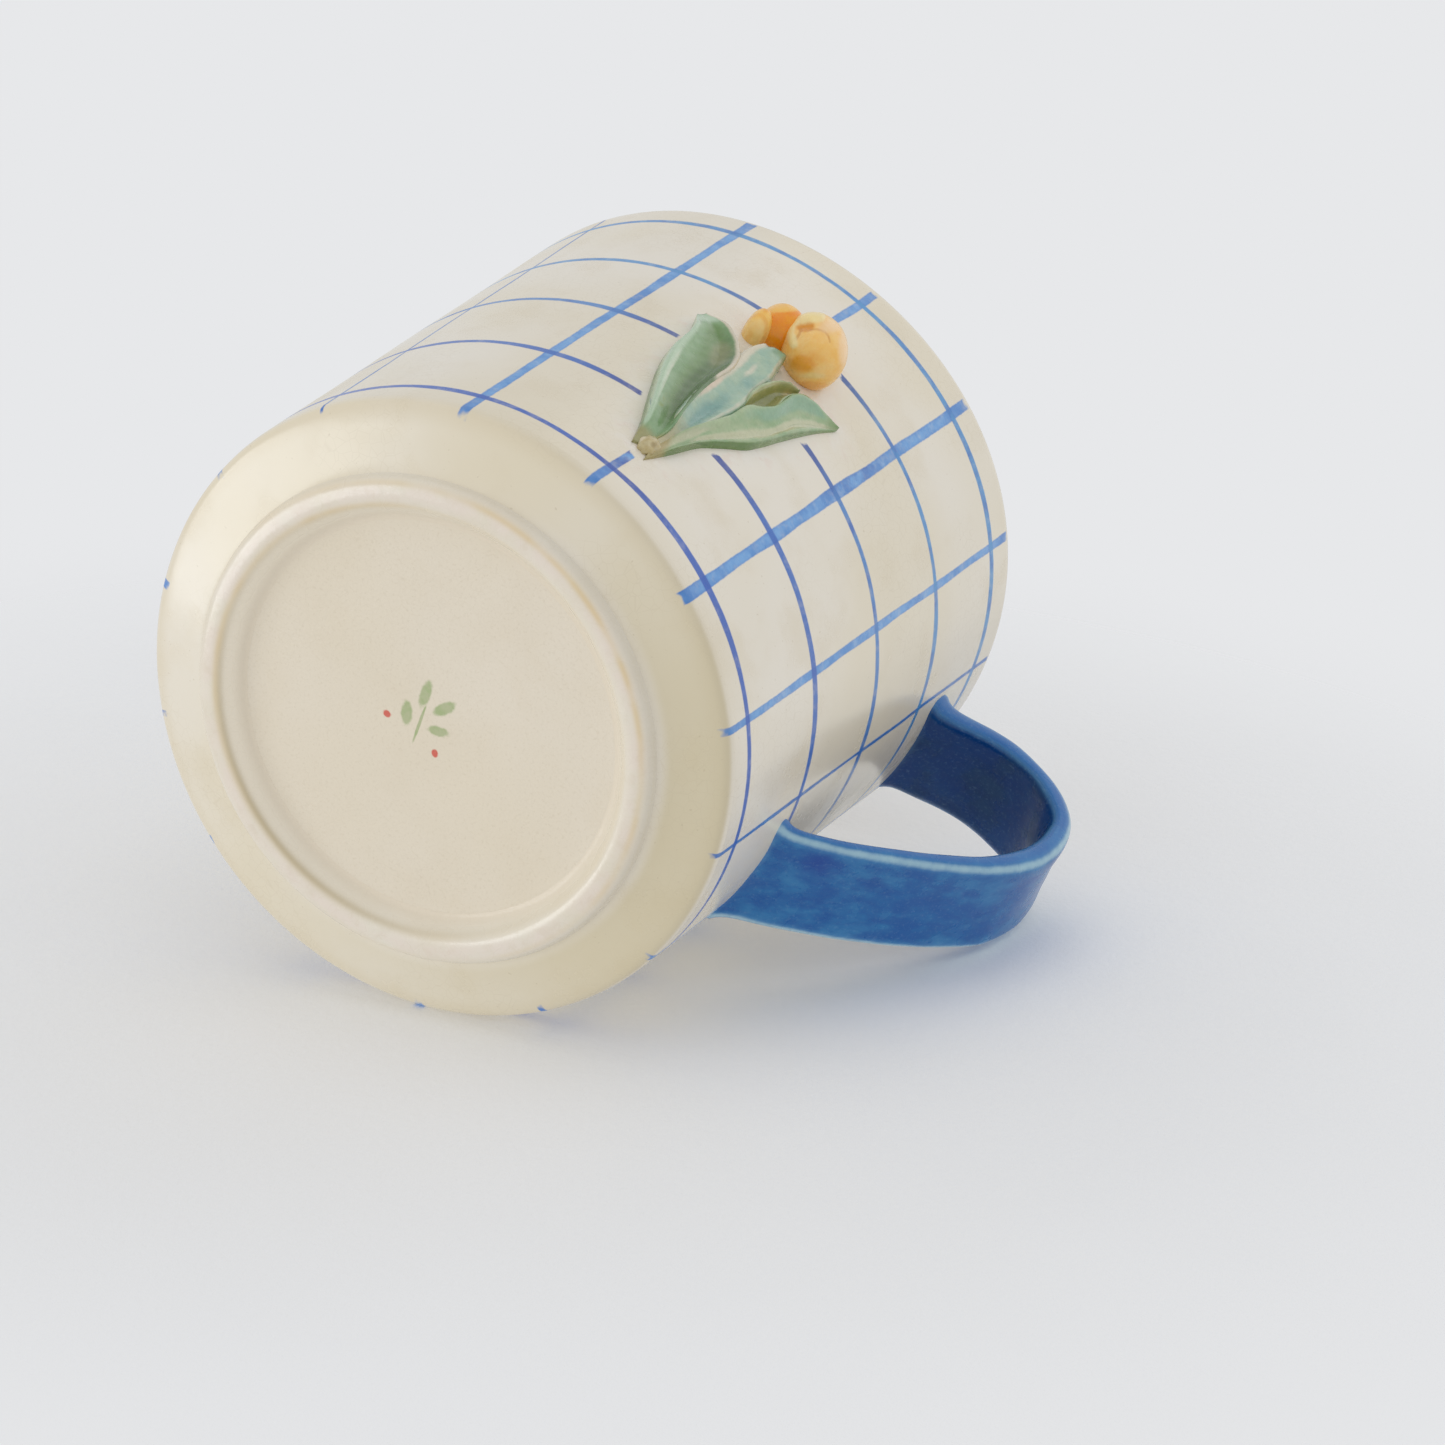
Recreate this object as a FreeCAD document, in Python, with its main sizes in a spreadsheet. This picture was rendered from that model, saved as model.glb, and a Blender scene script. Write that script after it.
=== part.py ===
import FreeCAD, Part
import math
import os
import sys
import Sketcher
from FreeCAD import Vector, Rotation, Placement

# Hand-made stoneware mug with a strap handle and a tulip in relief.
# Row frame: +Z from the foot to the rim, origin on the axis of the cup in the
# plane the foot stands on, handle towards +X, tulip towards -Y. Millimetres.

doc = FreeCAD.newDocument("stoneware_mug")
sheet = doc.addObject("Spreadsheet::Sheet", "Sheet")

DIMS = [
    # cup body
    ("cup_height", 88.7, "foot plane to the top of the lip"),
    ("wall_cone_radius", 40.0, "outer radius of the wall, carried down to the foot plane"),
    ("wall_cone_top", 44.204, "outer radius of the wall, carried up to the lip"),
    ("wall_seat_height", 4.5, "the wall stands on the base slab here"),
    ("wall_seat_radius", 40.21, "outer radius of the wall at its seat"),
    ("wall_lip_radius", 44.204, "outer radius at the lip before rounding"),
    ("wall_in_low", 35.6, "inner radius of the wall beside the base slab"),
    ("wall_in_top", 40.6, "inner radius at the lip before rounding"),
    ("cove_top", 11.8, "height where the inner cove ends on the wall"),
    ("lip_round", 1.65, "rounding of the lip"),
    # base slab
    ("recess_height", 2.8, "floor of the recess inside the foot ring"),
    ("floor_height", 8.0, "inner floor of the cup"),
    ("cove_start", 31.6, "radius where the inner cove starts"),
    ("cove_mid_radius", 34.4, "middle of the cove"),
    ("cove_mid_height", 9.3, "middle of the cove"),
    ("seat_radius", 31.4, "rebate that the foot ring sits in"),
    ("bevel_low_height", 1.5, "inner edge of the bevel"),
    ("bevel_out_radius", 39.5, "outer edge of the bevel"),
    ("bevel_out_height", 3.9, "outer edge of the bevel"),
    # foot ring
    ("ring_out_radius", 31.4, "outside of the foot ring"),
    ("ring_in_radius", 26.2, "inside of the foot ring at the recess floor"),
    ("ring_crest_radius", 28.2, "inner edge of the crest"),
    ("ring_round", 0.7, "rounding of the outer edge of the crest"),
    # handle
    ("strap_width", 16.0, "width of the handle strap"),
    ("strap_thickness", 4.6, "thickness of the handle strap"),
    ("strap_round", 1.9, "rounding of the strap's edges"),
    ("spine_start_x", 36.0, "start of the strap's middle line, inside the wall"),
    ("spine_start_z", 21.9, "start of the strap's middle line"),
    ("spine_slope", 47.8, "slope of the lower limb, degrees"),
    ("spine_low_length", 36.0, "length of the straight lower limb"),
    ("spine_big_radius", 27.0, "bend on the outside of the loop"),
    ("spine_small_radius", 14.0, "bend over the top of the loop"),
    ("spine_turn_height", 64.9, "height where the large bend meets the small one"),
    ("spine_top_slope", 22.0, "slope of the short upper limb, degrees"),
    ("spine_end_x", 38.0, "end of the strap's middle line, inside the wall"),
    ("coil_growth", 1.7, "how far the joint coil stands out round the strap at the wall"),
    ("coil_length", 9.0, "length of the tapering joint coil"),
    # tulip
    ("leaf_stand", 2.7, "height of the leaves over the wall"),
    ("stem_stand", 3.2, "height of the stem over the wall"),
    ("curl_stand", 3.0, "height of the curled leaf over the wall"),
    ("relief_depth", 20.0, "length of the relief blanks before trimming"),
    ("petal_front_radial", 5.0, "front petal, radial half size"),
    ("petal_front_across", 4.8, "front petal, half width"),
    ("petal_front_tall", 7.0, "front petal, half height"),
    ("petal_mid_radial", 4.6, "middle petal, radial half size"),
    ("petal_mid_across", 4.2, "middle petal, half width"),
    ("petal_mid_tall", 7.4, "middle petal, half height"),
    ("petal_left_radial", 3.8, "left petal, radial half size"),
    ("petal_left_across", 3.2, "left petal, half width"),
    ("petal_left_tall", 6.4, "left petal, half height"),
    ("nub_radial", 2.2, "root nub, radial half size"),
    ("nub_across", 2.1, "root nub, half width"),
    ("nub_tall", 2.9, "root nub, half height"),
]
D = {}
sheet.set("A1", "dimension")
sheet.set("B1", "mm")
for i, (alias, value, note) in enumerate(DIMS):
    row = i + 2
    sheet.set("A%d" % row, alias)
    sheet.set("B%d" % row, str(value))
    sheet.setAlias("B%d" % row, alias)
    sheet.set("C%d" % row, note)
    D[alias] = value
doc.recompute()


def origin_plane(body, role):
    for feature in body.Origin.OriginFeatures:
        if feature.Role == role:
            return feature
    raise RuntimeError("no plane " + role)


def new_sketch(body, name, role):
    sketch = body.newObject("Sketcher::SketchObject", name)
    sketch.AttachmentSupport = [(origin_plane(body, role), "")]
    sketch.MapMode = "FlatFace"
    return sketch


def value_of(expr):
    if isinstance(expr, (int, float)):
        return float(expr)
    return float(D[expr])


def bind(sketch, index, name, expr):
    sketch.renameConstraint(index, name)
    if not isinstance(expr, (int, float)):
        sketch.setExpression("Constraints." + name, "Sheet." + expr)


def polygon(sketch, points):
    """A closed polygon whose corner coordinates are driven by the sheet."""
    n = len(points)
    for i in range(n):
        a = points[i]
        b = points[(i + 1) % n]
        sketch.addGeometry(Part.LineSegment(
            Vector(value_of(a[0]), value_of(a[1]), 0),
            Vector(value_of(b[0]), value_of(b[1]), 0)), False)
    for i in range(n):
        sketch.addConstraint(Sketcher.Constraint("Coincident", i, 2, (i + 1) % n, 1))
    for i, (px, py) in enumerate(points):
        if value_of(px) == 0.0:
            sketch.addConstraint(Sketcher.Constraint("PointOnObject", i, 1, -2))
        else:
            k = sketch.addConstraint(Sketcher.Constraint("DistanceX", -1, 1, i, 1, value_of(px)))
            bind(sketch, k, "px%d" % i, px)
        if value_of(py) == 0.0:
            sketch.addConstraint(Sketcher.Constraint("PointOnObject", i, 1, -1))
        else:
            k = sketch.addConstraint(Sketcher.Constraint("DistanceY", -1, 1, i, 1, value_of(py)))
            bind(sketch, k, "py%d" % i, py)


def revolved(label, points):
    body = doc.addObject("PartDesign::Body", label + "_body")
    sketch = new_sketch(body, label + "_profile", "XZ_Plane")
    polygon(sketch, points)
    rev = body.newObject("PartDesign::Revolution", label + "_turned")
    rev.Profile = sketch
    rev.ReferenceAxis = (sketch, ["V_Axis"])
    rev.Angle = 360.0
    body.Tip = rev
    doc.recompute()
    return body, rev


def circle_edges(feature, radius, height):
    names = []
    for i, edge in enumerate(feature.Shape.Edges):
        curve = edge.Curve
        if isinstance(curve, Part.Circle) and abs(curve.Radius - radius) < 0.02 \
                and abs(curve.Center.z - height) < 0.02:
            names.append("Edge%d" % (i + 1))
    if not names:
        raise RuntimeError("no edge at r=%s z=%s" % (radius, height))
    return names


def fillet(body, base, edges, radius, label):
    feat = body.newObject("PartDesign::Fillet", label)
    feat.Base = (base, edges)
    feat.setExpression("Radius", "Sheet." + radius)
    body.Tip = feat
    doc.recompute()
    return feat


parts = {}

# The wall: a slab rolled into a slightly flaring tube, standing on the base slab,
# with its inside foot worked into a cove over the floor.
wall_body, wall_rev = revolved("cup_wall", [
    ("wall_in_low", "wall_seat_height"),
    ("wall_seat_radius", "wall_seat_height"),
    ("wall_lip_radius", "cup_height"),
    ("wall_in_top", "cup_height"),
    ("wall_in_low", "cove_top"),
    ("cove_mid_radius", "cove_mid_height"),
    ("cove_start", "floor_height"),
    ("wall_in_low", "floor_height"),
])
fillet(wall_body, wall_rev,
       circle_edges(wall_rev, D["wall_lip_radius"], D["cup_height"])
       + circle_edges(wall_rev, D["wall_in_top"], D["cup_height"]),
       "lip_round", "cup_lip")
parts["cup_wall"] = wall_body

# The base slab: the inner floor, the bevel outside, and the rebate for the foot ring.
slab_body, slab_rev = revolved("base_slab", [
    (0.0, "recess_height"),
    ("seat_radius", "recess_height"),
    ("seat_radius", "bevel_low_height"),
    ("bevel_out_radius", "bevel_out_height"),
    ("wall_seat_radius", "wall_seat_height"),
    ("wall_in_low", "wall_seat_height"),
    ("wall_in_low", "floor_height"),
    (0.0, "floor_height"),
])
parts["base_slab"] = slab_body

# The foot ring that the mug stands on.
ring_body, ring_rev = revolved("foot_ring", [
    ("ring_in_radius", "recess_height"),
    ("ring_crest_radius", 0.0),
    ("ring_out_radius", 0.0),
    ("ring_out_radius", "recess_height"),
])
fillet(ring_body, ring_rev, circle_edges(ring_rev, D["ring_out_radius"], 0.0),
       "ring_round", "foot_crest")
parts["foot_ring"] = ring_body


def wall_cone(label, grow):
    """The outside of the wall as a solid cone, grown outward by a sheet value."""
    cone = doc.addObject("Part::Cone", label)
    plus = "" if grow is None else " + Sheet." + grow
    cone.setExpression("Radius1", "Sheet.wall_cone_radius" + plus)
    cone.setExpression("Radius2", "Sheet.wall_cone_top" + plus)
    cone.setExpression("Height", "Sheet.cup_height")
    cone.Angle = 360.0
    return cone


def cut(label, base, tool):
    obj = doc.addObject("Part::Cut", label)
    obj.Base = base
    obj.Tool = tool
    doc.recompute()
    return obj


def common(label, base, tool):
    obj = doc.addObject("Part::Common", label)
    obj.Base = base
    obj.Tool = tool
    doc.recompute()
    return obj


wall_tool = wall_cone("wall_tool", None)
doc.recompute()

# The handle: a pulled strap swept along an ear-shaped middle line in the XZ plane.
handle_body = doc.addObject("PartDesign::Body", "handle_body")
spine = new_sketch(handle_body, "handle_spine", "XZ_Plane")
slope = math.radians(D["spine_slope"])
p0 = Vector(D["spine_start_x"], D["spine_start_z"], 0)
p1 = p0 + Vector(math.cos(slope), math.sin(slope), 0) * D["spine_low_length"]
big = D["spine_big_radius"]
small = D["spine_small_radius"]
c1 = p1 + Vector(-math.sin(slope), math.cos(slope), 0) * big
turn = math.asin((D["spine_turn_height"] - c1.y) / big)
p2 = c1 + Vector(math.cos(turn), math.sin(turn), 0) * big
c2 = c1 + Vector(math.cos(turn), math.sin(turn), 0) * (big - small)
end_dir = math.pi + math.radians(D["spine_top_slope"])
end_ang = end_dir - math.pi / 2
p3 = c2 + Vector(math.cos(end_ang), math.sin(end_ang), 0) * small
run = (p3.x - D["spine_end_x"]) / abs(math.cos(end_dir))
p4 = p3 + Vector(math.cos(end_dir), math.sin(end_dir), 0) * run
spine.addGeometry(Part.LineSegment(p0, p1), False)
spine.addGeometry(Part.ArcOfCircle(
    Part.Circle(c1, Vector(0, 0, 1), big), slope - math.pi / 2, turn), False)
spine.addGeometry(Part.ArcOfCircle(
    Part.Circle(c2, Vector(0, 0, 1), small), turn, end_ang), False)
spine.addGeometry(Part.LineSegment(p3, p4), False)
k = spine.addConstraint(Sketcher.Constraint("DistanceX", -1, 1, 0, 1, p0.x))
bind(spine, k, "start_x", "spine_start_x")
k = spine.addConstraint(Sketcher.Constraint("DistanceY", -1, 1, 0, 1, p0.y))
bind(spine, k, "start_z", "spine_start_z")
k = spine.addConstraint(Sketcher.Constraint("Angle", 0, slope))
spine.renameConstraint(k, "low_slope")
spine.setExpression("Constraints.low_slope", "Sheet.spine_slope * 1 deg")
k = spine.addConstraint(Sketcher.Constraint("Distance", 0, 1, 0, 2, D["spine_low_length"]))
bind(spine, k, "low_length", "spine_low_length")
spine.addConstraint(Sketcher.Constraint("Tangent", 0, 2, 1, 1))
k = spine.addConstraint(Sketcher.Constraint("Radius", 1, big))
bind(spine, k, "big_radius", "spine_big_radius")
spine.addConstraint(Sketcher.Constraint("Tangent", 1, 2, 2, 1))
k = spine.addConstraint(Sketcher.Constraint("DistanceY", -1, 1, 1, 2, p2.y))
bind(spine, k, "turn_z", "spine_turn_height")
k = spine.addConstraint(Sketcher.Constraint("Radius", 2, small))
bind(spine, k, "small_radius", "spine_small_radius")
spine.addConstraint(Sketcher.Constraint("Tangent", 2, 2, 3, 1))
k = spine.addConstraint(Sketcher.Constraint("DistanceX", -1, 1, 3, 2, p4.x))
bind(spine, k, "end_x", "spine_end_x")
doc.recompute()


def rounded_rect(sketch, half_x, half_y, radius):
    """Rounded rectangle centred on the sketch's origin; half_x along local x."""
    hx, hy, rr = half_x, half_y, radius
    q = math.pi / 2
    sketch.addGeometry(Part.LineSegment(Vector(-hx + rr, -hy, 0), Vector(hx - rr, -hy, 0)), False)
    sketch.addGeometry(Part.ArcOfCircle(Part.Circle(Vector(hx - rr, -hy + rr, 0), Vector(0, 0, 1), rr), -q, 0), False)
    sketch.addGeometry(Part.LineSegment(Vector(hx, -hy + rr, 0), Vector(hx, hy - rr, 0)), False)
    sketch.addGeometry(Part.ArcOfCircle(Part.Circle(Vector(hx - rr, hy - rr, 0), Vector(0, 0, 1), rr), 0, q), False)
    sketch.addGeometry(Part.LineSegment(Vector(hx - rr, hy, 0), Vector(-hx + rr, hy, 0)), False)
    sketch.addGeometry(Part.ArcOfCircle(Part.Circle(Vector(-hx + rr, hy - rr, 0), Vector(0, 0, 1), rr), q, 2 * q), False)
    sketch.addGeometry(Part.LineSegment(Vector(-hx, hy - rr, 0), Vector(-hx, -hy + rr, 0)), False)
    sketch.addGeometry(Part.ArcOfCircle(Part.Circle(Vector(-hx + rr, -hy + rr, 0), Vector(0, 0, 1), rr), 2 * q, 3 * q), False)
    for i in range(8):
        sketch.addConstraint(Sketcher.Constraint("Tangent", i, 2, (i + 1) % 8, 1))
    for i in (0, 4):
        sketch.addConstraint(Sketcher.Constraint("Horizontal", i))
    for i in (2, 6):
        sketch.addConstraint(Sketcher.Constraint("Vertical", i))
    for i in (3, 5, 7):
        sketch.addConstraint(Sketcher.Constraint("Equal", 1, i))


strap = new_sketch(handle_body, "strap_section", "XY_Plane")
strap.AttachmentOffset = Placement(
    Vector(p0.x, 0, p0.y), Rotation(Vector(0, 1, 0), 90.0 - D["spine_slope"]))
rounded_rect(strap, D["strap_thickness"] / 2, D["strap_width"] / 2, D["strap_round"])
k = strap.addConstraint(Sketcher.Constraint("Radius", 1, D["strap_round"]))
bind(strap, k, "edge_round", "strap_round")
k = strap.addConstraint(Sketcher.Constraint("DistanceX", 6, 1, 2, 1, D["strap_thickness"]))
strap.renameConstraint(k, "thick")
strap.setExpression("Constraints.thick", "Sheet.strap_thickness")
k = strap.addConstraint(Sketcher.Constraint("DistanceY", 0, 1, 4, 1, D["strap_width"]))
strap.renameConstraint(k, "wide")
strap.setExpression("Constraints.wide", "Sheet.strap_width")
k = strap.addConstraint(Sketcher.Constraint("DistanceX", -1, 1, 2, 1, D["strap_thickness"] / 2))
strap.renameConstraint(k, "half_thick")
strap.setExpression("Constraints.half_thick", "Sheet.strap_thickness / 2")
k = strap.addConstraint(Sketcher.Constraint("DistanceY", -1, 1, 4, 1, D["strap_width"] / 2))
strap.renameConstraint(k, "half_wide")
strap.setExpression("Constraints.half_wide", "Sheet.strap_width / 2")
doc.recompute()
pipe = handle_body.newObject("PartDesign::AdditivePipe", "handle_pipe")
pipe.Profile = strap
pipe.Spine = (spine, ["Edge1", "Edge2", "Edge3", "Edge4"])
pipe.Mode = "Standard"
handle_body.Tip = pipe
doc.recompute()
handle = cut("handle_strap_trim", handle_body, wall_tool)
parts["handle_strap"] = handle


# The joint coils: a bead of clay worked round each end of the strap where it meets the wall.
def joint_coil(label, start, direction):
    """start: a point on the strap's middle line inside the wall; direction: degrees in XZ."""
    body = doc.addObject("PartDesign::Body", label + "_body")
    sk = new_sketch(body, label + "_section", "XY_Plane")
    sk.AttachmentOffset = Placement(Vector(start.x, 0, start.y), Rotation(Vector(0, 1, 0), 90.0 - direction))
    hx = D["strap_thickness"] / 2 + D["coil_growth"]
    hy = D["strap_width"] / 2 + D["coil_growth"]
    rr = D["strap_round"] + D["coil_growth"]
    rounded_rect(sk, hx, hy, rr)
    k = sk.addConstraint(Sketcher.Constraint("Radius", 1, rr))
    sk.renameConstraint(k, "edge_round")
    sk.setExpression("Constraints.edge_round", "Sheet.strap_round + Sheet.coil_growth")
    k = sk.addConstraint(Sketcher.Constraint("DistanceX", 6, 1, 2, 1, 2 * hx))
    sk.renameConstraint(k, "thick")
    sk.setExpression("Constraints.thick", "Sheet.strap_thickness + 2 * Sheet.coil_growth")
    k = sk.addConstraint(Sketcher.Constraint("DistanceY", 0, 1, 4, 1, 2 * hy))
    sk.renameConstraint(k, "wide")
    sk.setExpression("Constraints.wide", "Sheet.strap_width + 2 * Sheet.coil_growth")
    k = sk.addConstraint(Sketcher.Constraint("DistanceX", -1, 1, 2, 1, hx))
    sk.renameConstraint(k, "half_thick")
    sk.setExpression("Constraints.half_thick", "Sheet.strap_thickness / 2 + Sheet.coil_growth")
    k = sk.addConstraint(Sketcher.Constraint("DistanceY", -1, 1, 4, 1, hy))
    sk.renameConstraint(k, "half_wide")
    sk.setExpression("Constraints.half_wide", "Sheet.strap_width / 2 + Sheet.coil_growth")
    doc.recompute()
    pad = body.newObject("PartDesign::Pad", label + "_bead")
    pad.Profile = sk
    pad.setExpression("Length", "Sheet.coil_length")
    pad.TaperAngle = -8.0
    body.Tip = pad
    doc.recompute()
    trimmed = cut(label + "_on_wall", body, wall_tool)
    return cut(label + "_trim", trimmed, handle_body)


low_start = p0 + Vector(math.cos(slope), math.sin(slope), 0) * 1.5
parts["joint_coil_lower"] = joint_coil("joint_coil_lower", low_start, D["spine_slope"])
top_dir = math.degrees(end_dir) - 180.0
parts["joint_coil_upper"] = joint_coil("joint_coil_upper", p4, top_dir)


# The tulip. Outlines are given as (x, z) seen square on from -Y.
def relief_blank(label, outline):
    body = doc.addObject("PartDesign::Body", label + "_body")
    sk = new_sketch(body, label + "_outline", "XZ_Plane")
    sk.AttachmentOffset = Placement(Vector(0, 0, 32.0), Rotation())
    # One side from root to tip and the other back to the root, so that both ends come to a point.
    tip = max(range(len(outline)), key=lambda i: outline[i][1])
    sides = [outline[:tip + 1], outline[tip:] + outline[:1]]
    for side in sides:
        curve = Part.BSplineCurve()
        curve.interpolate(Points=[Vector(x, z, 0) for x, z in side])
        sk.addGeometry(curve, False)
    doc.recompute()
    pad = body.newObject("PartDesign::Pad", label + "_blank")
    pad.Profile = sk
    pad.setExpression("Length", "Sheet.relief_depth")
    body.Tip = pad
    doc.recompute()
    box = body.Shape.BoundBox
    if box.YMin > -45:
        pad.Reversed = True
        doc.recompute()
    return body


def relief(label, outline, stand, others):
    blank = relief_blank(label, outline)
    obj = common(label + "_skin", blank, wall_cone(label + "_skin_tool", stand))
    obj = cut(label + "_on_wall", obj, wall_tool)
    for i, other in enumerate(others):
        obj = cut("%s_beside%d" % (label, i), obj, other)
    return obj


def petal(label, theta, z, offset, prefix, others):
    ell = doc.addObject("Part::Ellipsoid", label + "_form")
    ell.setExpression("Radius1", "Sheet.%s_tall" % prefix)
    ell.setExpression("Radius2", "Sheet.%s_radial" % prefix)
    ell.setExpression("Radius3", "Sheet.%s_across" % prefix)
    ell.Angle1 = -90.0
    ell.Angle2 = 90.0
    ell.Angle3 = 360.0
    radius = D["wall_cone_radius"] + (D["wall_cone_top"] - D["wall_cone_radius"]) * z / D["cup_height"] + offset
    a = math.radians(theta)
    ell.Placement = Placement(
        Vector(radius * math.cos(a), radius * math.sin(a), z), Rotation(Vector(0, 0, 1), theta))
    doc.recompute()
    obj = cut(label + "_on_wall", ell, wall_tool)
    for i, other in enumerate(others):
        obj = cut("%s_beside%d" % (label, i), obj, other)
    return obj


STEM = [(1.3, 21.6), (0.4, 25.4), (-0.6, 30.0), (-1.3, 36.0), (-1.5, 42.0), (-0.9, 47.0), (0.3, 50.5),
        (2.2, 50.3), (3.0, 46.0), (3.1, 40.5), (3.6, 35.0), (3.7, 30.0), (3.2, 25.4), (2.4, 21.8)]
LEAF_TALL = [(-1.2, 17.2), (-2.6, 21.0), (-4.6, 26.8), (-6.4, 32.4), (-7.8, 38.4), (-8.3, 43.0), (-9.4, 47.0),
             (-10.2, 50.2), (-9.2, 52.0), (-6.8, 51.2), (-4.2, 48.8), (-2.4, 45.6), (-1.2, 40.0), (-0.6, 33.0),
             (0.4, 26.0), (1.0, 20.0), (0.2, 17.2)]
LEAF_LOW = [(2.0, 15.6), (3.2, 19.4), (4.6, 24.6), (6.6, 29.2), (8.4, 33.0), (9.9, 37.4), (10.6, 42.0),
            (11.6, 47.0), (12.7, 51.6), (11.4, 52.2), (9.2, 50.6), (7.2, 47.6), (5.8, 43.0), (4.2, 38.6),
            (2.8, 33.0), (2.2, 26.0), (1.6, 20.6), (1.2, 17.0)]
LEAF_CURL = [(4.2, 37.6), (3.2, 40.0), (2.6, 43.2), (2.9, 46.6), (4.0, 49.2), (5.6, 50.6), (7.2, 50.2),
             (7.0, 47.0), (6.6, 43.6), (5.6, 39.8)]

stem = relief("tulip_stem", STEM, "stem_stand", [])
root_nub = petal("root_nub", -88.7, 17.0, 0.6, "nub", [stem])
leaf_tall = relief("leaf_tall", LEAF_TALL, "leaf_stand", [stem, root_nub])
leaf_low = relief("leaf_low", LEAF_LOW, "leaf_stand", [stem, root_nub])
leaf_curl = relief("leaf_curl", LEAF_CURL, "curl_stand", [stem, leaf_low])
petal_front = petal("petal_front", -85.4, 56.8, 2.6, "petal_front", [stem, leaf_curl, leaf_low])
petal_mid = petal("petal_middle", -90.6, 57.6, 1.6, "petal_mid", [stem, petal_front])
petal_left = petal("petal_left", -94.2, 55.2, 1.0, "petal_left", [stem, leaf_tall, petal_mid, petal_front])
parts["tulip_stem"] = stem
parts["leaf_tall"] = leaf_tall
parts["leaf_low"] = leaf_low
parts["leaf_curl"] = leaf_curl
parts["root_nub"] = root_nub
parts["petal_front"] = petal_front
parts["petal_middle"] = petal_mid
parts["petal_left"] = petal_left

doc.recompute()
for name, obj in parts.items():
    obj.Label = name

bad = []
for obj in doc.Objects:
    if any(word in obj.State for word in ("Invalid", "Error")):
        bad.append("%s %s" % (obj.Label, obj.State))
for name, obj in parts.items():
    shape = obj.Shape
    if shape.isNull() or not shape.isValid() or shape.Volume <= 0:
        bad.append("%s has no valid solid" % name)
    if len(shape.Solids) != 1:
        bad.append("%s has %d solids" % (name, len(shape.Solids)))
if bad:
    print("\n".join(bad))
    sys.exit(1)

os.makedirs("parts", exist_ok=True)
for name, obj in parts.items():
    shape = obj.Shape
    if shape.ShapeType != "Solid":
        shape = shape.Solids[0]
    shape.exportStep("parts/%s.step" % name)
    box = shape.BoundBox
    print("%-18s volume %9.1f mm3  x %.1f..%.1f  y %.1f..%.1f  z %.1f..%.1f" % (
        name, shape.Volume, box.XMin, box.XMax, box.YMin, box.YMax, box.ZMin, box.ZMax))
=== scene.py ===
import math
import bpy
import numpy as np
from mathutils import Matrix, Vector


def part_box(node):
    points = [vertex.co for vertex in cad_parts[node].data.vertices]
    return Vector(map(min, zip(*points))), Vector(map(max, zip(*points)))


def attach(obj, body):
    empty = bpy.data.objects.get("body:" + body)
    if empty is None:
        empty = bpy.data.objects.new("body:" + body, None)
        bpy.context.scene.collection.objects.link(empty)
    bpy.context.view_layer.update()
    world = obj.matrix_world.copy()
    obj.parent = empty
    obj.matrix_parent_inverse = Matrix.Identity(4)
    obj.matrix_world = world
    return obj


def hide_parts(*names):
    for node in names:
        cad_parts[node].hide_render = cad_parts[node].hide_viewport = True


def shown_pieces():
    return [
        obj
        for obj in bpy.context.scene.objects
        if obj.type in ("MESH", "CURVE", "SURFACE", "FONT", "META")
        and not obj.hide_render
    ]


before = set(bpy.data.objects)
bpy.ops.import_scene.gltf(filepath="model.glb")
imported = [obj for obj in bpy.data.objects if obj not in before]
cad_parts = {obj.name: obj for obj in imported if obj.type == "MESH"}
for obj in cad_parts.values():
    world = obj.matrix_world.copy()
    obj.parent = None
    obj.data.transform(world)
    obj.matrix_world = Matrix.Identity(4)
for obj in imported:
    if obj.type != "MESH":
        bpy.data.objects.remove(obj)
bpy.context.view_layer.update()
MM = 0.001


# ---------------------------------------------------------------- small maths
def node_box(name):
    lo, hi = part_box(name)
    return np.array(lo) * 1000.0, np.array(hi) * 1000.0


def smooth(x, lo, hi):
    t = np.clip((np.asarray(x, float) - lo) / (hi - lo), 0.0, 1.0)
    return t * t * (3.0 - 2.0 * t)


def catmull(points, n, closed=False):
    """n points along a centripetal-like Catmull-Rom curve through points, even in arc length."""
    p = np.asarray(points, float)
    m = len(p)
    seg = m if closed else m - 1
    out = []
    for i in range(seg):
        if closed:
            a, b, c, d = p[(i - 1) % m], p[i], p[(i + 1) % m], p[(i + 2) % m]
        else:
            a, b, c, d = p[max(i - 1, 0)], p[i], p[i + 1], p[min(i + 2, m - 1)]
        t = np.linspace(0, 1, 24, endpoint=False)[:, None]
        out.append(0.5 * ((2 * b) + (c - a) * t + (2 * a - 5 * b + 4 * c - d) * t ** 2
                          + (3 * b - a - 3 * c + d) * t ** 3))
    q = np.vstack(out + ([p[:1]] if closed else [p[-1:]]))
    s = np.concatenate([[0], np.cumsum(np.linalg.norm(np.diff(q, axis=0), axis=1))])
    want = np.linspace(0, s[-1], n + 1)[:-1] if closed else np.linspace(0, s[-1], n)
    return np.stack([np.interp(want, s, q[:, k]) for k in range(q.shape[1])], axis=1)


def wobble(a, b, c=0.0, seed=0.0):
    """A smooth, seeded wander, about -1..1, of two or three coordinates in mm."""
    s = seed * 1.7
    return (0.35 * np.sin(0.31 * a + 1.3 * np.sin(0.17 * b + s) + s)
            + 0.3 * np.sin(0.43 * b - 0.23 * a + 0.9 * np.sin(0.29 * c + 2 * s) + 2.1)
            + 0.2 * np.sin(0.83 * a + 0.61 * b + 0.7 * c + 3 * s)
            + 0.15 * np.sin(1.37 * b - 1.11 * a + 1.3 * c + 5 * s + 0.6))


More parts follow.
